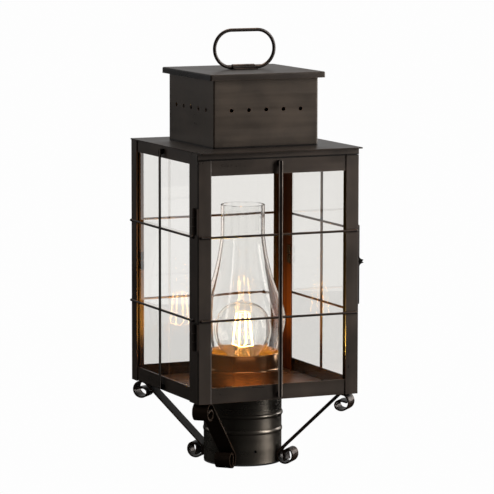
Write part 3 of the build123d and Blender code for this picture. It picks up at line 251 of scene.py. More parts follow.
class GroupFactory:
    """Makes each shared shader group once and hands it out by name."""

    EDGE_BEND: Range = (0.01, 0.16)
    WEAR_LEFT: Patches = ((120.0, 3.0), (0.36, 0.62, 0.25, 1.0))
    SEAM_REACH = 6.0 * MM
    SEAM_LIGHT: Range = (0.35, 0.80, 1.0, 0.0)
    CLOUDS: Pattern = (14.0, 5.0, 0.6)
    CLOUD_EDGE: Range = (0.34, 0.68)
    STREAKS: Pattern = (1.0, 3.0, 0.5)
    SPECKS: Pattern = (480.0, 2.0, 0.5)
    STAINS: Patches = ((46.0, 6.0, 0.65), (0.50, 0.78, 0.0, 0.35))
    CLOUD_ROUGH = 0.07
    STREAK_ROUGH = 0.04
    SPECK_HEIGHT = 0.3

    def __init__(self) -> None:
        """Starts with no groups made."""
        self._made: dict[str, NodeTree] = {}

    def use(self, tree: Tree, name: str, build: Callable[[], NodeTree],
            inputs: dict[str, object]) -> Node:
        """Adds an instance of a group to a tree.

        Args:
            tree: The tree that uses the group.
            name: The group's name.
            build: Makes the group where it isn't made yet.
            inputs: Constants of the group's inputs.

        Returns:
            The group node.
        """
        if name not in self._made:
            self._made[name] = build()
        node = tree.add("ShaderNodeGroup")
        node.node_tree = self._made[name]
        return tree.give(node, inputs)

    @staticmethod
    def blank(name: str, inputs: Sequence[tuple[str, str, object]],
              outputs: Sequence[tuple[str, str]]) -> tuple[Tree, Node, Node]:
        """Makes an empty group with its sockets.

        Args:
            name: The group's name.
            inputs: Name, socket type and default of each input.
            outputs: Name and socket type of each output.

        Returns:
            The group's tree, its input node and its output node.
        """
        group = bpy.data.node_groups.new(name, "ShaderNodeTree")
        for label, kind, default in inputs:
            socket = group.interface.new_socket(name=label, in_out="INPUT", socket_type=kind)
            socket.default_value = default
        for label, kind in outputs:
            group.interface.new_socket(name=label, in_out="OUTPUT", socket_type=kind)
        tree = Tree(group)
        return tree, tree.add("NodeGroupInput"), tree.add("NodeGroupOutput")

    def edge_wear(self) -> NodeTree:
        """Makes the group that finds rubbed edges.

        Returns:
            A group with a Mask that is 1 on sharp outer edges, broken up by noise.
        """
        tree, entry, leave = self.blank(
            "EdgeWear", [("Radius", "NodeSocketFloat", 0.0012), ("Amount", "NodeSocketFloat", 1.0)],
            [("Mask", "NodeSocketFloat")])
        bevel = tree.fill("ShaderNodeBevel", {"Radius": entry.outputs["Radius"]}, samples=6)
        along = tree.dot(bevel.outputs["Normal"], tree.add("ShaderNodeNewGeometry").outputs["Normal"])
        bent = tree.span(tree.maths("SUBTRACT", 1.0, along), *self.EDGE_BEND)
        mask = tree.maths("MULTIPLY", bent, tree.patches(*self.WEAR_LEFT))
        tree.give(leave, {"Mask": tree.maths("MULTIPLY", mask, entry.outputs["Amount"], clamp=True)})
        return tree.tree

    def crease_shade_group(self) -> NodeTree:
        """Makes the group that finds seams and inner corners, where shade is painted.

        Returns:
            A group with a Mask that is 1 deep in a seam.
        """
        tree, entry, leave = self.blank("CreaseShade", [("Amount", "NodeSocketFloat", 0.8)],
                                        [("Mask", "NodeSocketFloat")])
        shade = tree.fill("ShaderNodeAmbientOcclusion", {"Distance": self.SEAM_REACH}, samples=8)
        deep = tree.span(shade.outputs["AO"], *self.SEAM_LIGHT)
        tree.give(leave, {"Mask": tree.maths("MULTIPLY", deep, entry.outputs["Amount"], clamp=True)})
        return tree.tree

    def patina(self) -> NodeTree:
        """Makes the group for hand rubbed metal: cloudy patches, faint streaks and grain.

        Returns:
            A group that gives Color, Roughness and Height.
        """
        tree, entry, leave = self.blank(
            "Patina",
            [("Base", "NodeSocketColor", (0.1, 0.1, 0.1, 1)),
             ("Patch", "NodeSocketColor", (0.1, 0.08, 0.06, 1)),
             ("Deep", "NodeSocketColor", (0.05, 0.04, 0.03, 1)), ("Roughness", "NodeSocketFloat", 0.4),
             ("Brush", "NodeSocketVector", (150.0, 150.0, 8.0)), ("Contrast", "NodeSocketFloat", 0.2)],
            [("Color", "NodeSocketColor"), ("Roughness", "NodeSocketFloat"), ("Height", "NodeSocketFloat")])
        place = tree.place()
        given = entry.outputs
        cloud = tree.noise(place, *self.CLOUDS)
        streak = tree.noise(tree.stretched(place, given["Brush"]), *self.STREAKS)
        speck = tree.noise(place, *self.SPECKS)
        warm = tree.blend(tree.span(cloud, *self.CLOUD_EDGE), given["Base"], given["Patch"])
        dark = tree.patches(*self.STAINS)
        lighter = tree.maths("MULTIPLY", tree.swing(streak, 0.5), given["Contrast"])
        toned = tree.fill("ShaderNodeHueSaturation", {"Color": tree.blend(dark, warm, given["Deep"]),
                                                      "Value": tree.maths("ADD", lighter, 1.0)})
        uneven = tree.maths("ADD", tree.swing(cloud, self.CLOUD_ROUGH), tree.swing(streak, self.STREAK_ROUGH))
        tree.give(leave, {
            "Color": toned.outputs["Color"],
            "Roughness": tree.maths("ADD", given["Roughness"], uneven, clamp=True),
            "Height": tree.maths("ADD", tree.maths("MULTIPLY", speck, self.SPECK_HEIGHT), streak)})
        return tree.tree


GROUPS = GroupFactory()


# ---------------------------------------------------------------- finishes
@dataclass(frozen=True)
class Finish:
    """A finish: its name and how its material is made."""

    name: str

    def material(self) -> Material:
        """Makes the material.

        Returns:
            The material, with its node tree built.
        """
        material = bpy.data.materials.new(self.name)
        material.use_nodes = True
        material.node_tree.nodes.clear()
        tree = Tree(material.node_tree)
        tree.fill("ShaderNodeOutputMaterial", {"Surface": self.shade(tree)})
        return material

    def shade(self, tree: Tree) -> Socket:
        """Builds the shader.

        Args:
            tree: The material's tree.

        Returns:
            The shader socket for the material's surface.
        """
        raise NotImplementedError


@dataclass(frozen=True)
class Seam:
    """Painted shade in the seams round the door and under the roof, and a painted highlight along a stile's
    edge.
    """

    EDGE_LEFT: ClassVar[Patches] = ((60.0,), (0.35, 0.6, 0.5, 1.0))

    seam_from: float = -1.0         # metres along Y, in front of which -X faces carry painted shade
    highlight_from: float = 1.0          # metres along X, where the painted highlight starts
    levels: tuple[tuple[float, float], ...] = ()    # metres along Z, from and to, of each painted shadow line
    all_round: bool = False         # painted shadow lines on every side, not only the front
    # colour of the painted shade
    dark: Colour = PAINTED_SHADE
    # colour of the painted highlight along the edge
    bright: Colour = (0.24, 0.21, 0.19)
    highlight_fade: float = 0.0004
    level_share: float = 0.85       # share of painted shadow in a level seam
    inner_fade: float = 0.1 * MM
    outer_fade: float = 0.2 * MM
    facing: float = 0.8             # least share of a face's direction that counts as facing a way

    def draw(self, tree: Tree, colour: Socket) -> Socket:
        """Adds the painted shade in the seams and the painted edge highlight to a colour.

        Args:
            tree: The material's tree.
            colour: The metal's colour.

        Returns:
            The colour with both lines.
        """
        x, y, z = tree.axes(tree.place())
        facing_x, facing_y, facing_z = tree.facing("True Normal")
        sideways = tree.maths("LESS_THAN", facing_x, -self.facing)
        frontal = tree.maths("LESS_THAN", facing_y, -self.facing)
        upright = tree.maths("LESS_THAN", tree.size(facing_z), 0.5)
        # painted shade on the side faces beside the door, where the gap lies in shadow
        beside = tree.maths("MULTIPLY", sideways, tree.maths("LESS_THAN", y, self.seam_from))
        colour = tree.blend(beside, colour, rgba(self.dark))
        for low, high in self.levels:
            off, half = tree.size(tree.maths("SUBTRACT", z, (low + high) / 2)), (high - low) / 2
            line = tree.span(off, half - self.inner_fade, half + self.outer_fade, self.level_share, 0.0)
            seen = tree.maths("MULTIPLY", line, upright if self.all_round else frontal)
            colour = tree.blend(seen, colour, rgba(self.dark))
        # painted highlight along the stile's inner edge
        inner = tree.span(x, self.highlight_from, self.highlight_from + self.highlight_fade)
        edge = tree.maths("MULTIPLY", tree.maths("MULTIPLY", inner, frontal), tree.patches(*self.EDGE_LEFT))
        return tree.blend(edge, colour, rgba(self.bright))


@dataclass(frozen=True)
class RubbedMetal(Finish):
    """Dark bronze with cloudy patches, rubbed to copper on its edges."""

    RUBBED_ROUGH: ClassVar[float] = -0.12       # added to the roughness of a rubbed edge
    SHADE_ROUGH: ClassVar[float] = 0.7
    BUMP: ClassVar[float] = 0.35
    SLANT: ClassVar[float] = 0.15               # least share of both X and Y in a filed edge's direction
    SIDEWAYS: ClassVar[Range] = (0.3, 0.7)
    UPWARDS: ClassVar[Range] = (0.55, 0.95)
    CROWN_LEFT: ClassVar[Patches] = ((38.0, 3.0), (0.40, 0.62, 0.1, 1.0))
    EDGE_LEFT: ClassVar[Patches] = ((70.0, 3.0), (0.30, 0.60, 0.45, 1.0))
    LAMPWARDS: ClassVar[Range] = (-0.05, -0.02, 1.0, 0.0)

    base: Colour
    patch: Colour
    deep: Colour
    worn_and_highlight: Colour
    roughness: float
    metallic: float
    wear: float
    wear_radius: float
    brush: Triple = (90.0, 90.0, 4.0)
    contrast: float = 0.12
    grain: float = 0.00004
    shine: float = 0.5              # how much bare reflection the wax lets through
    crease_shade: float = 0.8            # share of painted shade in inner corners
    crown: float = 0.0              # share of worn copper and painted highlight where the metal faces up
    dull_sides: float = 0.0         # share of painted shade on upright faces
    dressed: bool = False           # filed edges with a painted highlight
    seam: Seam | None = None
    painted_lamp_light: Colour | None = None     # painted lamp light on the faces that look at the lamp
    shaded_before: float | None = None   # metres along Y, painted shade in front of this
    sooty_inside: float | None = None   # metres off the axis along X and Y, painted shade nearer in
    shaded_above: tuple[float, float] | None = None   # metres along Z, where painted shade starts and is full
    high_shade: float = 0.62             # share of painted shade where it is full
    sheen_left_of: float | None = None   # metres along X, left of which a painted sheen covers the colour
    # colour of the painted sheen
    pale: Colour = (0.043, 0.030, 0.027)

    def shade(self, tree: Tree) -> Socket:
        """Builds the shader.

        Args:
            tree: The material's tree.

        Returns:
            The shader socket.
        """
        patina = GROUPS.use(tree, "Patina", GROUPS.patina, {
            "Base": rgba(self.base), "Patch": rgba(self.patch), "Deep": rgba(self.deep),
            "Roughness": self.roughness, "Brush": self.brush, "Contrast": self.contrast})
        edges = GROUPS.use(tree, "EdgeWear", GROUPS.edge_wear,
                           {"Radius": self.wear_radius, "Amount": self.wear})
        crease_shade = GROUPS.use(tree, "CreaseShade", GROUPS.crease_shade_group, {"Amount": self.crease_shade})
        rubbed = edges.outputs["Mask"]
        colour = tree.blend(rubbed, patina.outputs["Color"], rgba(self.worn_and_highlight))
        smoother = tree.maths("MULTIPLY", rubbed, self.RUBBED_ROUGH)
        rough = tree.maths("ADD", patina.outputs["Roughness"], smoother, clamp=True)
        for mask, coat in self.coats(tree):
            colour = tree.blend(mask, colour, rgba(coat))
        if self.seam:
            colour = self.seam.draw(tree, colour)
        # painted shade in front of a plane, made rougher too
        if self.shaded_before is not None:
            sooty = tree.maths("LESS_THAN", tree.axes(tree.place())[1], self.shaded_before)
            colour = tree.blend(sooty, colour, rgba(DEEP_SHADE))
            rough = tree.maths("ADD", rough, tree.maths("MULTIPLY", sooty, self.SHADE_ROUGH), clamp=True)
        # the crease mask paints shade into seams and inner corners
        return tree.fill("ShaderNodeBsdfPrincipled", {
            "Base Color": tree.blend(crease_shade.outputs["Mask"], colour, rgba(PAINTED_SHADE)), "Roughness": rough,
            "Metallic": self.metallic, "Specular IOR Level": self.shine,
            "Normal": tree.bump(patina.outputs["Height"], self.BUMP, self.grain)}).outputs["BSDF"]

    def coats(self, tree: Tree) -> Iterator[tuple[Socket, Colour]]:
        """Lists what lies on the patina, from the bottom up: painted shade, painted sheen and highlights,
        worn copper and painted lamp light.

        Args:
            tree: The material's tree.

        Yields:
            A mask and the coat's colour.
        """
        x, y, z = tree.axes(tree.place())
        # painted shade inside the stack, so the vent holes look dark
        if self.sooty_inside is not None:
            off_axis = tree.maths("MAXIMUM", tree.size(x), tree.size(y))
            yield tree.maths("LESS_THAN", off_axis, self.sooty_inside), DEEP_SHADE
        # painted shade growing towards the top, away from the lamp
        if self.shaded_above:
            yield tree.span(z, *self.shaded_above, 0.0, self.high_shade), DEEP_SHADE
        # upright faces darkened by painted shade
        if self.dull_sides:
            yield tree.span(tree.size(tree.facing()[2]), *self.SIDEWAYS, self.dull_sides, 0.0), PAINTED_SHADE
        # painted highlight on the strip's filed edges
        if self.dressed:
            yield self.edge_highlight_mask(tree), self.worn_and_highlight
        # worn copper and a painted highlight on the wire's top
        if self.crown:
            yield self.crown_wear_and_highlight(tree), self.worn_and_highlight
        # painted lamp light on the faces that look at the lamp
        if self.painted_lamp_light:
            yield self.faces_lamp(tree), self.painted_lamp_light
        # painted sheen on the left part
        if self.sheen_left_of is not None:
            yield tree.maths("LESS_THAN", x, self.sheen_left_of), self.pale

    def crown_wear_and_highlight(self, tree: Tree) -> Socket:
        """Finds the top of a wire, where hands and rain rub it and a highlight is painted.

        Args:
            tree: The material's tree.

        Returns:
            A mask.
        """
        upward = tree.span(tree.facing()[2], *self.UPWARDS)
        bare = tree.maths("MULTIPLY", upward, tree.patches(*self.CROWN_LEFT))
        return tree.maths("MULTIPLY", bare, self.crown, clamp=True)

    def faces_lamp(self, tree: Tree) -> Socket:
        """Finds the faces that look at the lamp in the middle, where lamp light is painted.

        Args:
            tree: The material's tree.

        Returns:
            A mask.
        """
        sources = tree.add("ShaderNodeTexCoord").outputs
        off_axis = tree.stretched(sources["Object"], (1.0, 1.0, 0.0))
        return tree.span(tree.dot(off_axis, sources["Normal"]), *self.LAMPWARDS)

    def edge_highlight_mask(self, tree: Tree) -> Socket:
        """Finds the filed edges of a flat strip, which stand at a slant and carry a painted highlight.

        Args:
            tree: The material's tree.

        Returns:
            A mask.
        """
        facing_x, facing_y, _ = tree.facing("True Normal")
        least = tree.maths("MINIMUM", tree.size(facing_x), tree.size(facing_y))
        slant = tree.maths("GREATER_THAN", least, self.SLANT)
        return tree.maths("MULTIPLY", slant, tree.patches(*self.EDGE_LEFT))


@dataclass(frozen=True)
class BareMetal(Finish):
    """Brass, steel or aluminium with fine brushing and tarnish."""

    STAINS: ClassVar[Patches] = ((90.0, 5.0, 0.6), (0.45, 0.68))
    STAIN_ROUGH: ClassVar[float] = 0.15
    BRUSH: ClassVar[Triple] = (40.0, 40.0, 1400.0)
    BRUSH_ROUGH: ClassVar[float] = 0.06
    BRUSH_DEPTH: ClassVar[float] = 0.03 * MM
    base: Colour
    tarnish: Colour
    roughness: float

    def shade(self, tree: Tree) -> Socket:
        """Builds the shader.

        Args:
            tree: The material's tree.

        Returns:
            The shader socket.
        """
        stain = tree.patches(*self.STAINS)
        brush = tree.noise(tree.stretched(tree.place(), self.BRUSH), 1.0, 2.0)
        rough = tree.maths("ADD", tree.swing(brush, self.BRUSH_ROUGH, self.roughness),
                           tree.maths("MULTIPLY", stain, self.STAIN_ROUGH))
        return tree.fill("ShaderNodeBsdfPrincipled", {
            "Base Color": tree.blend(stain, rgba(self.base), rgba(self.tarnish)), "Roughness": rough,
            "Metallic": 1.0, "Normal": tree.bump(brush, 0.2, self.BRUSH_DEPTH)}).outputs["BSDF"]


@dataclass(frozen=True)
class Moulding(Finish):
    """Dark moulded plastic with a fine skin texture."""

    SKIN: ClassVar[Pattern] = (900.0, 2.0)
    SKIN_DEPTH: ClassVar[float] = 0.05 * MM
    CLOUDS: ClassVar[Patches] = ((60.0, 3.0), (0.4, 0.6))
    LIGHTER: ClassVar[float] = 1.5              # how much a pale cloud is brighter
    base: Colour
    roughness: float

    def shade(self, tree: Tree) -> Socket:
        """Builds the shader.

        Args:
            tree: The material's tree.

        Returns:
            The shader socket.
        """
        skin = tree.noise(tree.place(), *self.SKIN)
        cloud = tree.patches(*self.CLOUDS)
        lighter = tuple(min(1.0, channel * self.LIGHTER) for channel in self.base)
        return tree.fill("ShaderNodeBsdfPrincipled", {
            "Base Color": tree.blend(cloud, rgba(self.base), rgba(lighter)),
            "Roughness": tree.span(skin, *NOISE_REACH, self.roughness - 0.05, self.roughness + 0.08),
            "Normal": tree.bump(skin, 0.25, self.SKIN_DEPTH)}).outputs["BSDF"]


@dataclass(frozen=True)
class FlatGlass(Finish):
    """Thin flat pane: clear straight through, with a mirror image that follows Fresnel's law."""

    SMEARS: ClassVar[Patches] = ((35.0, 4.0), (0.45, 0.75, 0.0, 0.012))
    WAVES: ClassVar[Pattern] = (22.0, 2.0)
    tint: Colour
    ior: float
    wave: float

    def shade(self, tree: Tree) -> Socket:
        """Builds the shader.

        Args:
            tree: The material's tree.

        Returns:
            The shader socket.
        """
        single = tree.fill("ShaderNodeFresnel", {"IOR": self.ior}).outputs["Fac"]
        both_faces = tree.maths("DIVIDE", tree.maths("MULTIPLY", single, 2.0), tree.maths("ADD", single, 1.0))
        entering = tree.maths("SUBTRACT", 1.0, tree.add("ShaderNodeNewGeometry").outputs["Backfacing"])
        clear = tree.fill("ShaderNodeBsdfTransparent", {"Color": rgba(self.tint)})
        mirror = tree.fill("ShaderNodeBsdfPrincipled", {
            "Base Color": (1.0, 1.0, 1.0, 1.0), "Metallic": 1.0,
            "Roughness": tree.patches(*self.SMEARS),
            "Normal": tree.bump(tree.noise(tree.place(), *self.WAVES), 0.15, self.wave)})
        return tree.mix(tree.maths("MULTIPLY", both_faces, entering, clamp=True), clear, mirror)


@dataclass(frozen=True)
class BlownGlass(Finish):
    """Curved clear glass with real refraction, which lets lamp light through."""

    DRAWN: ClassVar[Triple] = (1.0, 1.0, 0.35)  # ripples run up the glass
    RIPPLES: ClassVar[Pattern] = (60.0, 2.0)
    RIPPLE_ROUGH: ClassVar[Range] = (*NOISE_REACH, 0.0, 0.02)
    TURNED: ClassVar[Range] = (0.55, 0.95)      # where the glass turns away from the eye
    tint: Colour
    ior: float
    wave: float
    # colour of a painted warm reflection at the glass's rim
    rim: Colour

    def shade(self, tree: Tree) -> Socket:
        """Builds the shader.

        Args:
            tree: The material's tree.

        Returns:
            The shader socket.
        """
        ripple = tree.noise(tree.stretched(tree.place(), self.DRAWN), *self.RIPPLES)
        turned = tree.fill("ShaderNodeLayerWeight", {"Blend": 0.5})
        # painted warm reflection where the glass turns away from the eye
        rim = tree.span(turned.outputs["Facing"], *self.TURNED)
        glass = tree.fill("ShaderNodeBsdfPrincipled", {
            "Base Color": tree.blend(rim, rgba(self.tint), rgba(self.rim)),
            "Transmission Weight": 1.0, "IOR": self.ior,
            "Roughness": tree.span(ripple, *self.RIPPLE_ROUGH), "Normal": tree.bump(ripple, 0.3, self.wave)})
        clear = tree.fill("ShaderNodeBsdfTransparent", {"Color": rgba(self.tint)})
        return tree.mix(tree.add("ShaderNodeLightPath").outputs["Is Shadow Ray"], glass, clear)


@dataclass(frozen=True)
class LitFilament(Finish):
    """Phosphor sticks that glow all along, but for their cold tips."""

    COLD: ClassVar[Colour] = (0.30, 0.30, 0.32)
    HOT: ClassVar[Colour] = (1.0, 0.78, 0.25)
    glow: Colour
    strength: float
    middle: float
    half_length: float
    lit_share: float = 0.92         # share of the length that glows in full

    def shade(self, tree: Tree) -> Socket:
        """Builds the shader.

        Args:
            tree: The material's tree.

        Returns:
            The shader socket.
        """
        off = tree.size(tree.maths("SUBTRACT", tree.axes(tree.place())[2], self.middle))
        lit = tree.span(off, self.half_length * self.lit_share, self.half_length, 1.0, 0.0)
        return tree.fill("ShaderNodeBsdfPrincipled", {
            "Base Color": tree.blend(lit, rgba(self.COLD), rgba(self.HOT)), "Roughness": 0.4,
            "Emission Color": tree.blend(lit, (0.0, 0.0, 0.0, 1.0), rgba(self.glow)),
            "Emission Strength": self.strength}).outputs["BSDF"]


def filament_reach() -> tuple[float, float]:
    """Measures the height of the filaments' middle, and half their length."""
    low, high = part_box("bulb_filaments")
    return (low.z + high.z) / 2, (high.z - low.z) / 2


def bronze(name: str, **changes: object) -> RubbedMetal:
    """Makes one version of the lantern's bronze, with what it has unlike the others."""
    plain = RubbedMetal(name, roughness=0.33, wear=0.5, wear_radius=0.0007, **BRONZE)
    return replace(plain, **changes)


def metal_finishes() -> dict[Slot, Finish]:
    """Lists the finish of each metal slot.

    Returns:
        Slot to finish.
    """
    wire = RubbedMetal("BronzeWire", base=(0.026, 0.021, 0.018), patch=(0.036, 0.025, 0.019),
                       deep=(0.018, 0.014, 0.012), worn_and_highlight=(0.30, 0.17, 0.10), metallic=0.55, roughness=0.34,
                       wear=0.0, wear_radius=0.0004, shine=0.35, crown=0.8, painted_lamp_light=(0.13, 0.070, 0.045))
    hinge = RubbedMetal("BronzeHinge", base=(0.034, 0.027, 0.022), patch=(0.046, 0.032, 0.024),
                        deep=(0.022, 0.017, 0.014), worn_and_highlight=(0.30, 0.17, 0.10), metallic=0.55, roughness=0.36,
                        wear=0.5, wear_radius=0.0004)
    cup = RubbedMetal("BronzeCup", base=(0.110, 0.062, 0.030), patch=(0.140, 0.076, 0.032),
                      deep=(0.060, 0.038, 0.024), worn_and_highlight=(0.50, 0.28, 0.16), metallic=0.75, roughness=0.22,
                      wear=0.4, wear_radius=0.0008)
    return {
        Slot.BRONZE: bronze("RubbedBronze", wear_radius=0.0008),
        Slot.WIRE: wire,
        Slot.RING: replace(wire, name="BronzeRing", roughness=0.30, wear_radius=0.0005, shine=0.5, crown=0.7,
                           painted_lamp_light=None),
        Slot.HINGE: hinge,
        Slot.CUP: cup,
        Slot.BULB_CAP: BareMetal("BulbCapMetal", (0.72, 0.70, 0.66), (0.5, 0.46, 0.4), 0.3),
        Slot.BULB_CONTACT: BareMetal("ContactMetal", (0.42, 0.40, 0.38), (0.2, 0.18, 0.17), 0.4),
        Slot.BRASS: BareMetal("Brass", (0.66, 0.46, 0.18), (0.36, 0.24, 0.10), 0.28),
        Slot.STEEL: BareMetal("PlatedSteel", (0.46, 0.43, 0.38), (0.26, 0.22, 0.18), 0.35),
    }


def lamp_finishes() -> dict[Slot, Finish]:
    """Lists the finish of the glass, the filaments and the lamp holder.

    Returns:
        Slot to finish.
    """
    middle, half = filament_reach()
    return {
        Slot.PANE: FlatGlass("PaneGlass", tint=(0.985, 0.98, 0.97), ior=1.5, wave=0.00005),
        Slot.CHIMNEY: BlownGlass("ChimneyGlass", tint=(0.985, 0.985, 0.98), ior=1.47, wave=0.0003,
                                 rim=(0.80, 0.53, 0.37)),
        Slot.BULB_GLASS: BlownGlass("BulbGlass", tint=(0.99, 0.985, 0.975), ior=1.45, wave=0.0001,
                                    rim=(0.88, 0.74, 0.56)),
        Slot.FILAMENT: LitFilament("Filament", glow=(1.0, 0.60, 0.24), strength=12.0, middle=middle,
                                   half_length=half),
        Slot.SOCKET: Moulding("SocketMoulding", (0.035, 0.031, 0.028), 0.45),
    }


def door_seams() -> tuple[tuple[float, float], ...]:
    """Measures the lower and upper ends of the painted shadow lines over the door and under the roof."""
    door_top, header_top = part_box("door_top_rail")[1].z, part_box("front_header")[1].z
    return (door_top - 0.6 * MM, door_top + 1.2 * MM), (header_top - 0.8 * MM, header_top + 0.4 * MM)


def body_finishes() -> dict[str, Finish]:
    """Lists the finishes of the body's and the door's frame.

    Returns:
        Node to finish.
    """
    seams = door_seams()
    # painted shadow lines under the roof's lip and over the door
    level = bronze("RubbedBronzeLevel", brush=LEVEL_BRUSH, seam=Seam(levels=seams))
    # the glazing angles' darker, redder bronze: painted shade with a painted warm tint of lamp light
    angle = RubbedMetal("StreakedAngleLampTint", base=(0.028, 0.010, 0.0035), patch=(0.042, 0.014, 0.004),
                        deep=(0.012, 0.005, 0.002), worn_and_highlight=(0.24, 0.10, 0.04), roughness=0.36, metallic=0.4,
                        wear=0.25, wear_radius=0.0005, brush=UPRIGHT_STREAKS, contrast=1.1, shine=0.03,
                        shaded_before=0.0, shaded_above=(0.172, 0.215), sheen_left_of=-0.05)
    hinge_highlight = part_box("door_hinge_stile")[1].x - HIGHLIGHT_EDGE
    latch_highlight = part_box("door_latch_stile")[1].x - HIGHLIGHT_EDGE
    rails = ("front_header", "back_top_rail", "back_bottom_rail", "left_top_rail", "left_bottom_rail",
             "right_top_rail", "right_bottom_rail", "door_top_rail", "door_bottom_rail")
    return {
        **{rail: level for rail in rails},
        # painted shade beside the door, and a painted highlight along each stile's inner edge
        "door_hinge_stile": bronze("HingeStile", wear=0.3, seam=Seam(DOOR_BACK, hinge_highlight, seams)),
        "door_latch_stile": bronze("LatchStile", wear=0.3,
                                   seam=Seam(DOOR_BACK, latch_highlight, seams, bright=(0.13, 0.11, 0.10))),
        "corner_post_front_left": bronze("SeamedCorner", seam=Seam(DOOR_BACK)),
        "corner_post_back_right": bronze("StreakedPost", roughness=0.32, brush=UPRIGHT_STREAKS, contrast=0.7),
        "glazing_angles": angle,
    }


def roof_finishes() -> dict[str, Finish]:
    """Lists the finishes of the roof, the stack and its lid.

    Returns:
        Node to finish.
    """
    low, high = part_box("vent_stack")
    # painted shadow round the stack's foot
    foot_seam = Seam(levels=((low.z - 1.0 * MM, low.z + 1.4 * MM),), all_round=True)
    return {
        "vent_stack": bronze("RubbedBronzeStack", base=(0.051, 0.040, 0.031), patch=(0.066, 0.047, 0.033),
                             deep=(0.032, 0.025, 0.020), wear_radius=0.0008, brush=(7.0, 7.0, 170.0),
                             contrast=0.16, sooty_inside=high.x - 0.5 * MM, seam=foot_seam),
        # painted shade on the lid's upright and left faces, and on the roof's upright faces
        "stack_lid": bronze("RubbedBronzeLid", brush=LEVEL_BRUSH, dull_sides=0.38,
                            seam=Seam(seam_from=1.0, dark=(0.008, 0.006, 0.005))),
        "roof_plate": bronze("RubbedBronzeRoof", wear=0.8, wear_radius=0.0005, brush=LEVEL_BRUSH,
                             dull_sides=0.55),
    }


def small_finishes() -> dict[str, Finish]:
    """Lists the finishes of the fitter, the straps, the guard strips and other small metal.

    Returns:
        Node to finish, and the set screws.
    """
    tube = RubbedMetal("DrawnTube", base=(0.155, 0.138, 0.115), patch=(0.178, 0.149, 0.119),
                       deep=(0.096, 0.082, 0.067), worn_and_highlight=(0.30, 0.19, 0.12), roughness=0.31, metallic=0.9,
                       wear=0.3, wear_radius=0.0006, brush=(8.0, 8.0, 120.0), contrast=0.1, grain=0.000012,
                       crease_shade=0.0)
    strap = RubbedMetal("ScrollStrap", base=(0.030, 0.020, 0.014), patch=(0.042, 0.024, 0.015),
                        deep=(0.018, 0.012, 0.009), worn_and_highlight=(0.42, 0.27, 0.18), roughness=0.32, metallic=0.7,
                        wear=1.0, wear_radius=0.0006, brush=(90.0, 90.0, 90.0), contrast=0.3)
    # near-black guard strip: painted shade and dark reflection on its front
    strip = RubbedMetal("GuardStripShade", base=(0.004, 0.003, 0.003), patch=(0.007, 0.005, 0.004),
                        deep=(0.003, 0.002, 0.002), worn_and_highlight=(0.20, 0.165, 0.14), roughness=0.42, metallic=0.2,
                        wear=0.0, wear_radius=0.0004, shine=0.05, dressed=True,
                        painted_lamp_light=(0.045, 0.030, 0.023))
    tab = RubbedMetal("DarkTab", base=(0.004, 0.0035, 0.003), patch=(0.006, 0.005, 0.004),
                      deep=(0.003, 0.0025, 0.002), worn_and_highlight=(0.10, 0.06, 0.04), roughness=0.4, metallic=0.3,
                      wear=0.3, wear_radius=0.0004, shine=0.12)
    # near-black screws: painted shade of the holes that they sit in
    hole_shade = RubbedMetal("ScrewShade", base=(0.003, 0.003, 0.003), patch=(0.004, 0.003, 0.003),
                         deep=(0.002, 0.002, 0.002), worn_and_highlight=(0.02, 0.02, 0.02), roughness=0.5, metallic=0.2,
                         wear=0.0, wear_radius=0.0004, shine=0.1)
    uprights = ("guard_upright_left", "guard_upright_right", "guard_upright_back", "door_guard_upright")
    corners = ("front_left", "front_right", "back_left", "back_right")
    return {
        "post_fitter": tube,
        "set_screws": hole_shade,
        **{name: tab for name in ("glass_tabs", "latch_strip", "latch_grip")},
        **{name: strip for name in uprights},
        **{f"scroll_bracket_{corner}": strap for corner in corners},
    }


# ---------------------------------------------------------------- pieces
def new_piece(name: str, mesh: Mesh, material: Material, slot: Slot,
              body: Body) -> Piece:
    """Turns a mesh into a piece of the lantern.

    Args:
        name: The piece's name.
        mesh: Its mesh, in the frame.
        material: Its finish.
        slot: The record's slot that the finish stands for; not used.
        body: The body that it rides on.

    Returns:
        The new object.
    """
    data = bpy.data.meshes.new(name)
    bmesh.ops.recalc_face_normals(mesh, faces=mesh.faces)
    mesh.to_mesh(data)
    mesh.free()
    for polygon in data.polygons:
        polygon.use_smooth = True
    piece = bpy.data.objects.new(name, data)
    bpy.context.scene.collection.objects.link(piece)
    data.materials.append(material)
    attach(piece, body.value)
    return piece


def wall(mesh: Mesh, rings: Sequence[Sequence[Vert]]) -> None:
    """Joins rings of vertices with rows of faces.

    Args:
        mesh: The mesh to add to.
        rings: The rings in order, each with as many vertices.
    """
    for below, above in zip(rings, rings[1:]):
        for step in range(len(below)):
            after = (step + 1) % len(below)
            mesh.faces.new((below[step], below[after], above[after], above[step]))


def rod(mesh: Mesh, rings: Sequence[Sequence[Vert]]) -> None:
    """Joins rings of vertices and closes both ends.

    Args:
        mesh: The mesh to add to.
        rings: The rings in order.
    """
    wall(mesh, rings)
    mesh.faces.new(list(reversed(rings[0])))
    mesh.faces.new(rings[-1])


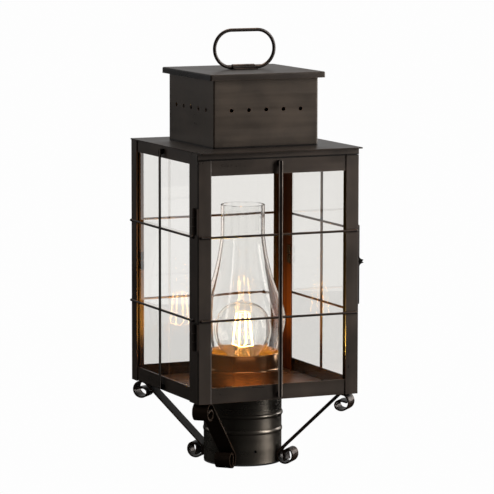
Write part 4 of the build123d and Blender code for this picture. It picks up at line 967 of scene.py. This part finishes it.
@dataclass
class BulbScrewCap:
    """Threaded cap of the bulb, with its rolled thread as one helix."""

    pitch: float = 25.4 / 7 * MM
    depth: float = 0.75 * MM
    rim: float = 1.2 * MM
    chamfer_share: float = 0.3      # height of the narrowing at the bottom, of the radius
    nose_share: float = 0.7         # reach at the very bottom, of the radius
    sides: int = 72
    rows_per_pitch: int = 10

    def build(self, material: Material) -> Piece:
        """Makes the cap in place of the plain one.

        Args:
            material: The cap's finish.

        Returns:
            The threaded cap.
        """
        low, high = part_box("bulb_cap")
        radius, height = (high.x - low.x) / 2, high.z - low.z
        rows = round(height / self.pitch * self.rows_per_pitch)
        levels = [low.z + height * row / rows for row in range(rows + 1)]
        mesh = bmesh.new()
        rod(mesh, [self.ring(mesh, level, low.z, high.z, radius) for level in levels])
        piece = new_piece("bulb_screw_cap", mesh, material, Slot.BULB_CAP, Body.BULB)
        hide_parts("bulb_cap")
        return piece

    def ring(self, mesh: Mesh, level: float, bottom: float, top: float,
             radius: float) -> list[Vert]:
        """Adds one level of the cap's wall.

        Args:
            mesh: The mesh to add to.
            level: The level's height.
            bottom: The cap's lower end.
            top: The cap's upper end.
            radius: Radius over the thread.

        Returns:
            The level's vertices.
        """
        chamfer = radius * self.chamfer_share
        shoulder = min(1.0, self.nose_share + (1 - self.nose_share) * (level - bottom) / chamfer)
        fade = min(1.0, max(0.0, (top - self.rim - level) / self.pitch),
                   max(0.0, (level - bottom - chamfer) / self.pitch))
        verts = []
        for step in range(self.sides):
            angle = 2 * math.pi * step / self.sides
            phase = 2 * math.pi * (level - bottom) / self.pitch - angle
            reach = radius * shoulder - self.depth * fade * (0.5 - 0.5 * math.cos(phase))
            verts.append(mesh.verts.new((reach * math.cos(angle), reach * math.sin(angle), level)))
        return verts


@dataclass
class SolderBlobs:
    """Flattened beads of solder where the guard wires' ends are fixed."""

    length: float = 4.4 * MM
    height: float = 3.3 * MM
    proud: float = 2.5 * MM
    inset_share: float = 0.32       # from the wire's end to the bead's middle, of its length
    rings: int = 8
    sides: int = 14

    def build(self, name: str, bars: str, outwards: Vector, material: Material,
              body: Body) -> Piece:
        """Makes the beads at both ends of every level wire of one face.

        Args:
            name: The piece's name.
            bars: CAD node of the wires.
            outwards: The face's outward direction.
            material: The beads' finish.
            body: The body that they ride on.

        Returns:
            One object that holds the beads.
        """
        low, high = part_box(bars)
        across = 0 if outwards.x else 1
        along = 1 - across
        wire = high[across] - low[across]
        mesh = bmesh.new()
        for level in (low.z + wire / 2, high.z - wire / 2):
            for end, inwards in ((low[along], 1), (high[along], -1)):
                centre = Vector((0.0, 0.0, level))
                centre[along] = end + inwards * self.length * self.inset_share
                centre[across] = low[across] if outwards[across] > 0 else high[across]
                self.bead(mesh, centre, along, outwards)
        return new_piece(name, mesh, material, Slot.WIRE, body)

    def bead(self, mesh: Mesh, centre: Vector, along: int, outwards: Vector) -> None:
        """Adds one bead: a half ellipsoid that flattens towards its rim.

        Args:
            mesh: The mesh to add to.
            centre: Middle of the bead's foot.
            along: Axis of its length.
            outwards: Direction of its crown.
        """
        run = Vector((0.0, 0.0, 0.0))
        run[along] = 1.0
        rows = []
        for ring in range(self.rings):
            lift = math.sin(math.pi / 2 * ring / self.rings)
            reach = math.cos(math.pi / 2 * ring / self.rings) ** 0.8
            row = []
            for side in range(self.sides):
                angle = 2 * math.pi * side / self.sides
                lobes = 0.06 * math.sin(3 * angle + centre.z * 900)
                uneven = 1 + lobes + 0.04 * math.cos(2 * angle + lift * 3)
                point = (centre + run * (math.cos(angle) * reach * uneven * self.length / 2)
                         + Vector((0, 0, math.sin(angle) * reach * uneven * self.height / 2))
                         + outwards * (lift * self.proud * 0.96))
                row.append(mesh.verts.new(point))
            rows.append(row)
        crown = mesh.verts.new(centre + outwards * self.proud)
        wall(mesh, rows)
        for side in range(self.sides):
            mesh.faces.new((rows[-1][side], rows[-1][(side + 1) % self.sides], crown))
        mesh.faces.new(list(reversed(rows[0])))


@dataclass
class GuardUpright:
    """Flat guard strip with dressed edges, across the level wires, its ends soldered down."""

    width: float = 4.4 * MM
    thick: float = 1.2 * MM
    edge: float = 0.9 * MM
    edge_drop: float = 0.3 * MM
    pad: float = 3.5 * MM
    taper: float = 3.0 * MM
    step: float = 0.7 * MM
    tip_share: float = 0.6          # width at the very end, of the full width

    def build(self, node: str, bars: str, outwards: Vector, material: Material,
              body: Body) -> Piece:
        """Makes the strip in place of the CAD wire.

        Args:
            node: CAD node of the wire.
            bars: CAD node of the level wires that it lies on.
            outwards: The face's outward direction.
            material: The strip's finish.
            body: The body that it rides on.

        Returns:
            The strip.
        """
        low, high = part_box(node)
        bars_low, bars_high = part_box(bars)
        axis = 0 if outwards.x else 1
        across = 1 - axis
        sign = 1 if outwards[axis] > 0 else -1
        face, back = (low[axis], bars_high[axis]) if sign > 0 else (high[axis], bars_low[axis])
        middle = (low[across] + high[across]) / 2
        mesh = bmesh.new()
        rings = []
        count = round((high.z - low.z) / self.step)
        for index in range(count + 1):
            level = low.z + (high.z - low.z) * index / count
            inset = min(level - low.z, high.z - level)
            rings.append(self.ring(mesh, level, middle, face + (back - face) * self.clear(inset),
                                   back, sign, across, self.tip(inset)))
        rod(mesh, rings)
        piece = new_piece(node + "_strip", mesh, material, Slot.WIRE, body)
        for polygon in piece.data.polygons:
            polygon.use_smooth = False
        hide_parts(node)
        return piece

    def clear(self, inset: float) -> float:
        """Tells how far the strip stands off the face: 0 on the solder pad at its end, 1 past it."""
        share = min(1.0, max(0.0, (inset - self.pad) / self.taper))
        return share * share * (3 - 2 * share)

    def tip(self, inset: float) -> float:
        """Rounds the strip's end off, as a share of its width."""
        reach = min(1.0, inset / (self.width / 2))
        return self.tip_share + (1 - self.tip_share) * math.sqrt(max(0.0, 1 - (1 - reach) ** 2))

    def ring(self, mesh: Mesh, level: float, middle: float, back: float, bars: float, sign: int,
             across: int, share: float) -> list[Vert]:
        """Adds one section of the strip.

        Args:
            mesh: The mesh to add to.
            level: The section's height.
            middle: The strip's middle along the face.
            back: Where its back is, outwards.
            bars: Where the level wires end, outwards.
            sign: 1 where outwards is positive.
            across: The axis along the face.
            share: Share of the full width.

        Returns:
            The section's vertices.
        """
        half, front = self.width / 2 * share, bars + sign * self.thick
        rest = half - self.edge * share
        side = front - sign * self.edge_drop
        corners = ((-half, back), (-half, side), (-rest, front), (rest, front), (half, side), (half, back))
        verts = []
        for shift, depth in corners:
            point = Vector((0.0, 0.0, level))
            point[across] = middle + shift
            point[1 - across] = depth
            verts.append(mesh.verts.new(point))
        return verts


@dataclass
class SetScrews:
    """Grub screws that clamp the fitter to its post, screwed flush into the three holes."""

    radius: float = 1.58 * MM
    chamfer: float = 0.15 * MM
    chamfer_share: float = 0.92         # radius of the end, of the full radius
    hex_radius: float = 0.8 * MM
    hex_depth: float = 0.3 * MM
    recess: float = 0.8 * MM
    height: float = 13.0 * MM
    outside: float = 39.8 * MM
    inside: float = 38.65 * MM
    first_turn: float = -5.0            # degrees from the door's middle
    count: int = 3
    sides: int = 24

    def build(self, material: Material) -> Piece:
        """Makes the screws.

        Args:
            material: Their finish.

        Returns:
            One object that holds them.
        """
        mesh = bmesh.new()
        for index in range(self.count):
            turn = math.radians(-90 + self.first_turn + 360 / self.count * index)
            self.screw(mesh, Vector((math.cos(turn), math.sin(turn), 0.0)))
        return new_piece("set_screws", mesh, material, Slot.STEEL, Body.LANTERN)

    def screw(self, mesh: Mesh, outwards: Vector) -> None:
        """Adds one screw, with its hexagon socket.

        Args:
            mesh: The mesh to add to.
            outwards: The fitter's outward direction at the screw.
        """
        side = Vector((-outwards.y, outwards.x, 0.0))
        face = self.outside - self.recess
        sixth = math.pi / 3
        levels = ((self.inside, self.radius, False), (face - self.chamfer, self.radius, False),
                  (face, self.radius * self.chamfer_share, False), (face, self.hex_radius, True),
                  (face - self.hex_depth, self.hex_radius, True))
        rings = []
        for reach, radius, hexagon in levels:
            ring = []
            for step in range(self.sides):
                angle = 2 * math.pi * step / self.sides
                size = radius / math.cos((angle + sixth / 2) % sixth - sixth / 2) if hexagon else radius
                ring.append(mesh.verts.new(outwards * reach + side * (math.cos(angle) * size)
                                           + Vector((0, 0, self.height + math.sin(angle) * size))))
            rings.append(ring)
        rod(mesh, rings)


class Lantern:
    """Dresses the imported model: a finish for every node, and the small added pieces."""

    FACES = (
        ("left", "guard_bars_left", "guard_upright_left", Vector((-1, 0, 0)), Body.LANTERN),
        ("right", "guard_bars_right", "guard_upright_right", Vector((1, 0, 0)), Body.LANTERN),
        ("back", "guard_bars_back", "guard_upright_back", Vector((0, 1, 0)), Body.LANTERN),
        ("door", "door_guard_bars", "door_guard_upright", Vector((0, -1, 0)), Body.DOOR),
    )

    def __init__(self) -> None:
        """Makes the materials of the slots, and of the nodes that look unlike the rest of their slot."""
        slots = {**metal_finishes(), **lamp_finishes()}
        self.materials = {slot: finish.material() for slot, finish in slots.items()}
        nodes = {**body_finishes(), **roof_finishes(), **small_finishes()}
        made = {finish.name: finish.material() for finish in dict.fromkeys(nodes.values())}
        self.own = {node: made[finish.name] for node, finish in nodes.items()}

    def dress_nodes(self) -> None:
        """Gives every CAD node its own material, or else that of its slot."""
        slots = node_slots()
        for name, node in frame["nodes"].items():
            node.data.materials.clear()
            node.data.materials.append(self.own.get(name, self.materials[slots[name]]))

    def add_details(self) -> list[Piece]:
        """Adds the threaded cap, the solder beads, the upright strips and the set screws.

        Returns:
            The pieces.
        """
        wire, strip = self.materials[Slot.WIRE], self.own["door_guard_upright"]
        beads, upright = SolderBlobs(), GuardUpright()
        pieces = [BulbScrewCap().build(self.materials[Slot.BULB_CAP])]
        for face, bars, _, outwards, body in self.FACES:
            pieces.append(beads.build(f"solder_{face}", bars, outwards, wire, body))
        for _, bars, node, outwards, body in self.FACES:
            pieces.append(upright.build(node, bars, outwards, strip, body))
        pieces.append(SetScrews().build(self.own["set_screws"]))
        return pieces


def node_slots() -> dict[str, Slot]:
    """Looks up the slot of every CAD node."""
    return {part["node"]: Slot(part["material_slot"]) for part in frame["record"]["subparts"]}


# ---------------------------------------------------------------- studio
def new_light(name: str, kind: str, place: Place, power: float, colour: Colour) -> Piece:
    """Makes a light that the camera can't see.

    Args:
        name: The light's name.
        kind: The light's type.
        place: Where it stands.
        power: Its power in watts.
        colour: Its colour.

    Returns:
        The light object.
    """
    data = bpy.data.lights.new(name, kind)
    data.energy, data.color = power, colour
    light = bpy.data.objects.new(name, data)
    light.location = place
    light.visible_camera = False
    bpy.context.scene.collection.objects.link(light)
    return light


def look(place: Place, target: Place) -> Quaternion:
    """Turns a light or a camera at one place towards another."""
    return (Vector(target) - Vector(place)).to_track_quat("-Z", "Y")


class Receivers:
    """Collections of nodes that a light may be kept to."""

    GLASS = (Slot.PANE, Slot.CHIMNEY, Slot.BULB_GLASS)

    def __init__(self) -> None:
        """Sorts the nodes by what they are made of."""
        self.glass = bpy.data.collections.new("GlassReceivers")
        self.solid = bpy.data.collections.new("SolidReceivers")
        slots = node_slots()
        for name, node in frame["nodes"].items():
            kind = self.glass if slots[name] in self.GLASS else self.solid
            kind.objects.link(node)

    def add_pieces(self, pieces: Iterable[Piece]) -> None:
        """Adds the scene's own pieces, which are all metal."""
        for piece in pieces:
            self.solid.objects.link(piece)


@dataclass(frozen=True)
class Softbox:
    """A rectangular studio light."""

    name: str
    place: Place
    size: tuple[float, float]
    power: float
    target: Place = (0.0, 0.0, 0.2)
    colour: Colour = (1.0, 1.0, 1.0)
    mirrored: bool = True           # seen in what shines

    def build(self) -> Piece:
        """Makes the light.

        Returns:
            The light object.
        """
        light = new_light(self.name, "AREA", self.place, self.power, self.colour)
        light.data.shape = "RECTANGLE"
        light.data.size, light.data.size_y = self.size
        light.rotation_mode = "QUATERNION"
        light.rotation_quaternion = look(self.place, self.target)
        light.visible_glossy = self.mirrored
        return light


@dataclass(frozen=True)
class LampGlow:
    """Light that the lit filaments throw, or that the glass round them scatters."""

    name: str
    power: float
    lift: float
    radius: float
    colour: Colour = (1.0, 0.42, 0.11)

    def build(self) -> Piece:
        """Makes the light over or under the filaments' middle, riding on the bulb.

        Returns:
            The light object.
        """
        place = (0.0, 0.0, filament_reach()[0] + self.lift)
        light = new_light(self.name, "POINT", place, self.power, self.colour)
        light.data.shadow_soft_size = self.radius
        light.visible_transmission = False
        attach(light, Body.BULB.value)
        return light


@dataclass(frozen=True)
class PaneGlow:
    """Lamp light that one pane throws back inside, as a soft light or as a mirror image."""

    name: str
    side: tuple[float, float]
    power: float = 0.25
    mirrored: bool = False
    colour: Colour = (1.0, 0.42, 0.13)
    reach: float = 0.074
    level: float = 0.128
    size: tuple[float, float] = (0.11, 0.06)
    lit: tuple[str, ...] = ("base_plate", "front_header")

    def build(self) -> Piece:
        """Makes the light just inside the pane, facing the lamp.

        Returns:
            The light object.
        """
        place = (self.side[0] * self.reach, self.side[1] * self.reach, self.level)
        light = Softbox(self.name, place, self.size, self.power, (0.0, 0.0, self.level), self.colour,
                        self.mirrored).build()
        light.visible_transmission = False
        light.visible_diffuse = not self.mirrored
        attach(light, Body.LANTERN.value)
        lit = bpy.data.collections.new(self.name + "Receivers")
        for node in self.lit:
            lit.objects.link(frame["nodes"][node])
        light.light_linking.receiver_collection = lit
        return light


@dataclass(frozen=True)
class PhotoCamera:
    """The photograph's viewpoint."""

    place: Place = (-1.3497, -3.0360, 0.6299)
    target: Place = (0.00468, 0.0, 0.21697)
    roll: float = math.radians(0.08)
    focal_pixels: float = 3298.08
    sensor: float = 36.0

    def build(self) -> Piece:
        """Makes the camera and the scene's view through it.

        Returns:
            The camera object.
        """
        data = bpy.data.cameras.new("PhotoCamera")
        data.sensor_width = self.sensor
        data.lens = self.focal_pixels / PHOTO_SIDE * self.sensor
        data.clip_start, data.clip_end = 0.1, 50.0
        camera = bpy.data.objects.new("PhotoCamera", data)
        camera.location = self.place
        aim = look(self.place, self.target).to_matrix().to_4x4()
        camera.rotation_mode = "QUATERNION"
        camera.rotation_quaternion = (aim @ Matrix.Rotation(self.roll, 4, "Z")).to_quaternion()
        bpy.context.scene.collection.objects.link(camera)
        bpy.context.scene.camera = camera
        return camera


class Studio:
    """Floor, backdrop light, soft boxes, lamp light and camera."""

    FLOOR_SIDE = 12.0
    SHADOW_EDGE = 2.0 * MM              # the floor carries painted shadow from this far inside the fitter's wall
    WHITE: Colour = (0.985, 0.985, 0.985)
    SURROUND: Colour = (0.22, 0.22, 0.22)
    MIRRORED: Colour = (0.02, 0.02, 0.02)
    BACKDROP: Colour = (0.4, 0.4, 0.4)
    MATT: Colour = (0.8, 0.8, 0.8)
    BACK_WAY: Triple = (0.36, 0.93, 0.0)
    BACK_REACH: Range = (0.45, 1.0)
    STREAK: ClassVar[dict[str, object]] = dict(mirrored=True, size=(0.015, 0.06), colour=(1.0, 0.85, 0.7),
                                               lit=CUP_ONLY)
    LIGHTS = (
        Softbox("KeyRight", (1.95, -1.58, 0.9), (0.9, 2.0), 84.0),
        Softbox("StripRight", (2.15, 0.5, 0.7), (0.45, 1.8), 20.0),
        Softbox("FillLeft", (-2.6, -1.2, 1.1), (1.2, 1.8), 10.0, mirrored=False),
        Softbox("RimLeft", (-1.75, 1.9, 0.75), (0.9, 1.6), 5.0),
        Softbox("TopLight", (0.2, 0.9, 2.8), (1.8, 1.8), 40.0, target=(0.0, 0.0, 0.3)),
    )
    GLASS_LIGHTS = (
        Softbox("GlassSheen", (2.3, -1.2, 1.0), (1.2, 1.4), 17.0),
        Softbox("GlassBack", (-0.49, 1.1, 0.12), (0.9, 1.2), 1.85),
        Softbox("GlassRim", (-2.2, -0.8, 0.9), (0.3, 1.4), 4.0),
    )
    GLOWS = (
        LampGlow("LampGlow", 1.5, 0.0, 0.02),
        LampGlow("NeckGlow", 4.6, -0.026, 0.008, (1.0, 0.57, 0.09)),
    )
    PANE_GLOWS = (
        PaneGlow("PaneGlowFront", (0.0, -1.0), 0.4, level=0.105),
        PaneGlow("PaneGlowCup", (-0.35, -0.95), 0.075, level=0.078, size=(0.06, 0.01), reach=0.052,
                 lit=CUP_ONLY),
        PaneGlow("CupFill", (-0.9, -0.5), 0.025, level=0.1, size=(0.05, 0.05), colour=(1.0, 0.8, 0.62),
                 lit=CUP_ONLY),
        PaneGlow("PaneGlowBack", (0.0, 1.0)),
        PaneGlow("PaneGlowLeft", (-1.0, 0.0)),
        PaneGlow("PaneGlowRight", (1.0, 0.0)),
        PaneGlow("PaneSheen", (-0.3, -0.95), 0.06, mirrored=True, size=(0.06, 0.05), colour=(1.0, 0.6, 0.34),
                 lit=CUP_ONLY),
        PaneGlow("CupStreakLeft", (-0.77, 0.64), 0.008, **STREAK),
        PaneGlow("CupStreakRight", (0.96, -0.28), 0.03, **STREAK),
    )

    def build(self, receivers: Receivers) -> None:
        """Makes everything that isn't part of the lantern.

        Args:
            receivers: The lantern's solid and glass nodes.
        """
        self.world()
        self.floor()
        for light in (*self.LIGHTS, *self.GLOWS):
            light.build().light_linking.receiver_collection = receivers.solid
        for light in self.GLASS_LIGHTS:
            light.build().light_linking.receiver_collection = receivers.glass
        for glow in self.PANE_GLOWS:
            glow.build()
        PhotoCamera().build()
        self.view()

    @staticmethod
    def seen(tree: Tree) -> Socket:
        """Gives 1 for rays from the camera, also through clear glass, and 0 for others."""
        path = tree.add("ShaderNodeLightPath")
        return tree.maths("MAXIMUM", path.outputs["Is Camera Ray"], path.outputs["Is Transmission Ray"])

    def world(self) -> None:
        """White to look at, and a softer grey to light and reflect."""
        world = bpy.data.worlds.new("Studio")
        world.use_nodes = True
        world.node_tree.nodes.clear()
        tree = Tree(world.node_tree)
        outwards = tree.add("ShaderNodeTexCoord").outputs["Generated"]
        behind = tree.span(tree.dot(outwards, self.BACK_WAY), *self.BACK_REACH)
        mirrored = tree.blend(behind, rgba(self.MIRRORED), rgba(self.BACKDROP))
        path = tree.add("ShaderNodeLightPath")
        unseen = tree.blend(path.outputs["Is Glossy Ray"], rgba(self.SURROUND), mirrored)
        light = tree.fill("ShaderNodeBackground", {
            "Color": tree.blend(self.seen(tree), unseen, rgba(self.WHITE))})
        tree.fill("ShaderNodeOutputWorld", {"Surface": light.outputs["Background"]})
        bpy.context.scene.world = world

    def floor(self) -> None:
        """Plain pale floor that the lantern stands on, as white as the backdrop, with painted shadow inside
        the fitter.
        """
        mesh = bmesh.new()
        half = self.FLOOR_SIDE / 2
        corners = ((-half, -half), (half, -half), (half, half), (-half, half))
        mesh.faces.new([mesh.verts.new((x, y, CAD_BOX[0].z)) for x, y in corners])
        data = bpy.data.meshes.new("floor")
        mesh.to_mesh(data)
        mesh.free()
        floor = bpy.data.objects.new("floor", data)
        bpy.context.scene.collection.objects.link(floor)
        data.materials.append(self.floor_material())

    def floor_material(self) -> Material:
        """Pale matt floor whose shadows don't show in the white surround, with painted shadow inside the
        fitter.

        Returns:
            The floor's material.
        """
        material = bpy.data.materials.new("Floor")
        material.use_nodes = True
        material.node_tree.nodes.clear()
        tree = Tree(material.node_tree)
        mirrored = tree.add("ShaderNodeLightPath").outputs["Is Glossy Ray"]
        matt = tree.fill("ShaderNodeBsdfDiffuse", {
            "Color": tree.blend(mirrored, rgba(self.MATT), rgba(self.MIRRORED))})
        off_axis = tree.fill("ShaderNodeVectorMath", {0: tree.place()}, operation="LENGTH").outputs["Value"]
        # painted shadow: the floor's white turns dark inside the fitter
        edge = FITTER_REACH - self.SHADOW_EDGE
        outside = tree.span(off_axis, edge, edge + self.SHADOW_EDGE / 2)
        white = tree.fill("ShaderNodeEmission", {
            "Color": tree.blend(outside, rgba(self.MIRRORED), rgba(self.WHITE))})
        tree.fill("ShaderNodeOutputMaterial", {"Surface": tree.mix(self.seen(tree), matt, white)})
        return material

    @staticmethod
    def view() -> None:
        """Plain colours, and enough bounces for panes behind panes."""
        scene = bpy.context.scene
        scene.view_settings.view_transform = "Standard"
        scene.cycles.max_bounces = 24
        scene.cycles.transmission_bounces = 24
        scene.cycles.transparent_max_bounces = 48
        scene.cycles.glossy_bounces = 8


def main() -> None:
    """Dresses the lantern and lights it."""
    logging.basicConfig(level=logging.INFO)
    lantern = Lantern()
    lantern.dress_nodes()
    receivers = Receivers()
    receivers.add_pieces(lantern.add_details())
    Studio().build(receivers)
    log.info("dressed %d nodes", len(frame["nodes"]))


if __name__ == "__main__":
    main()
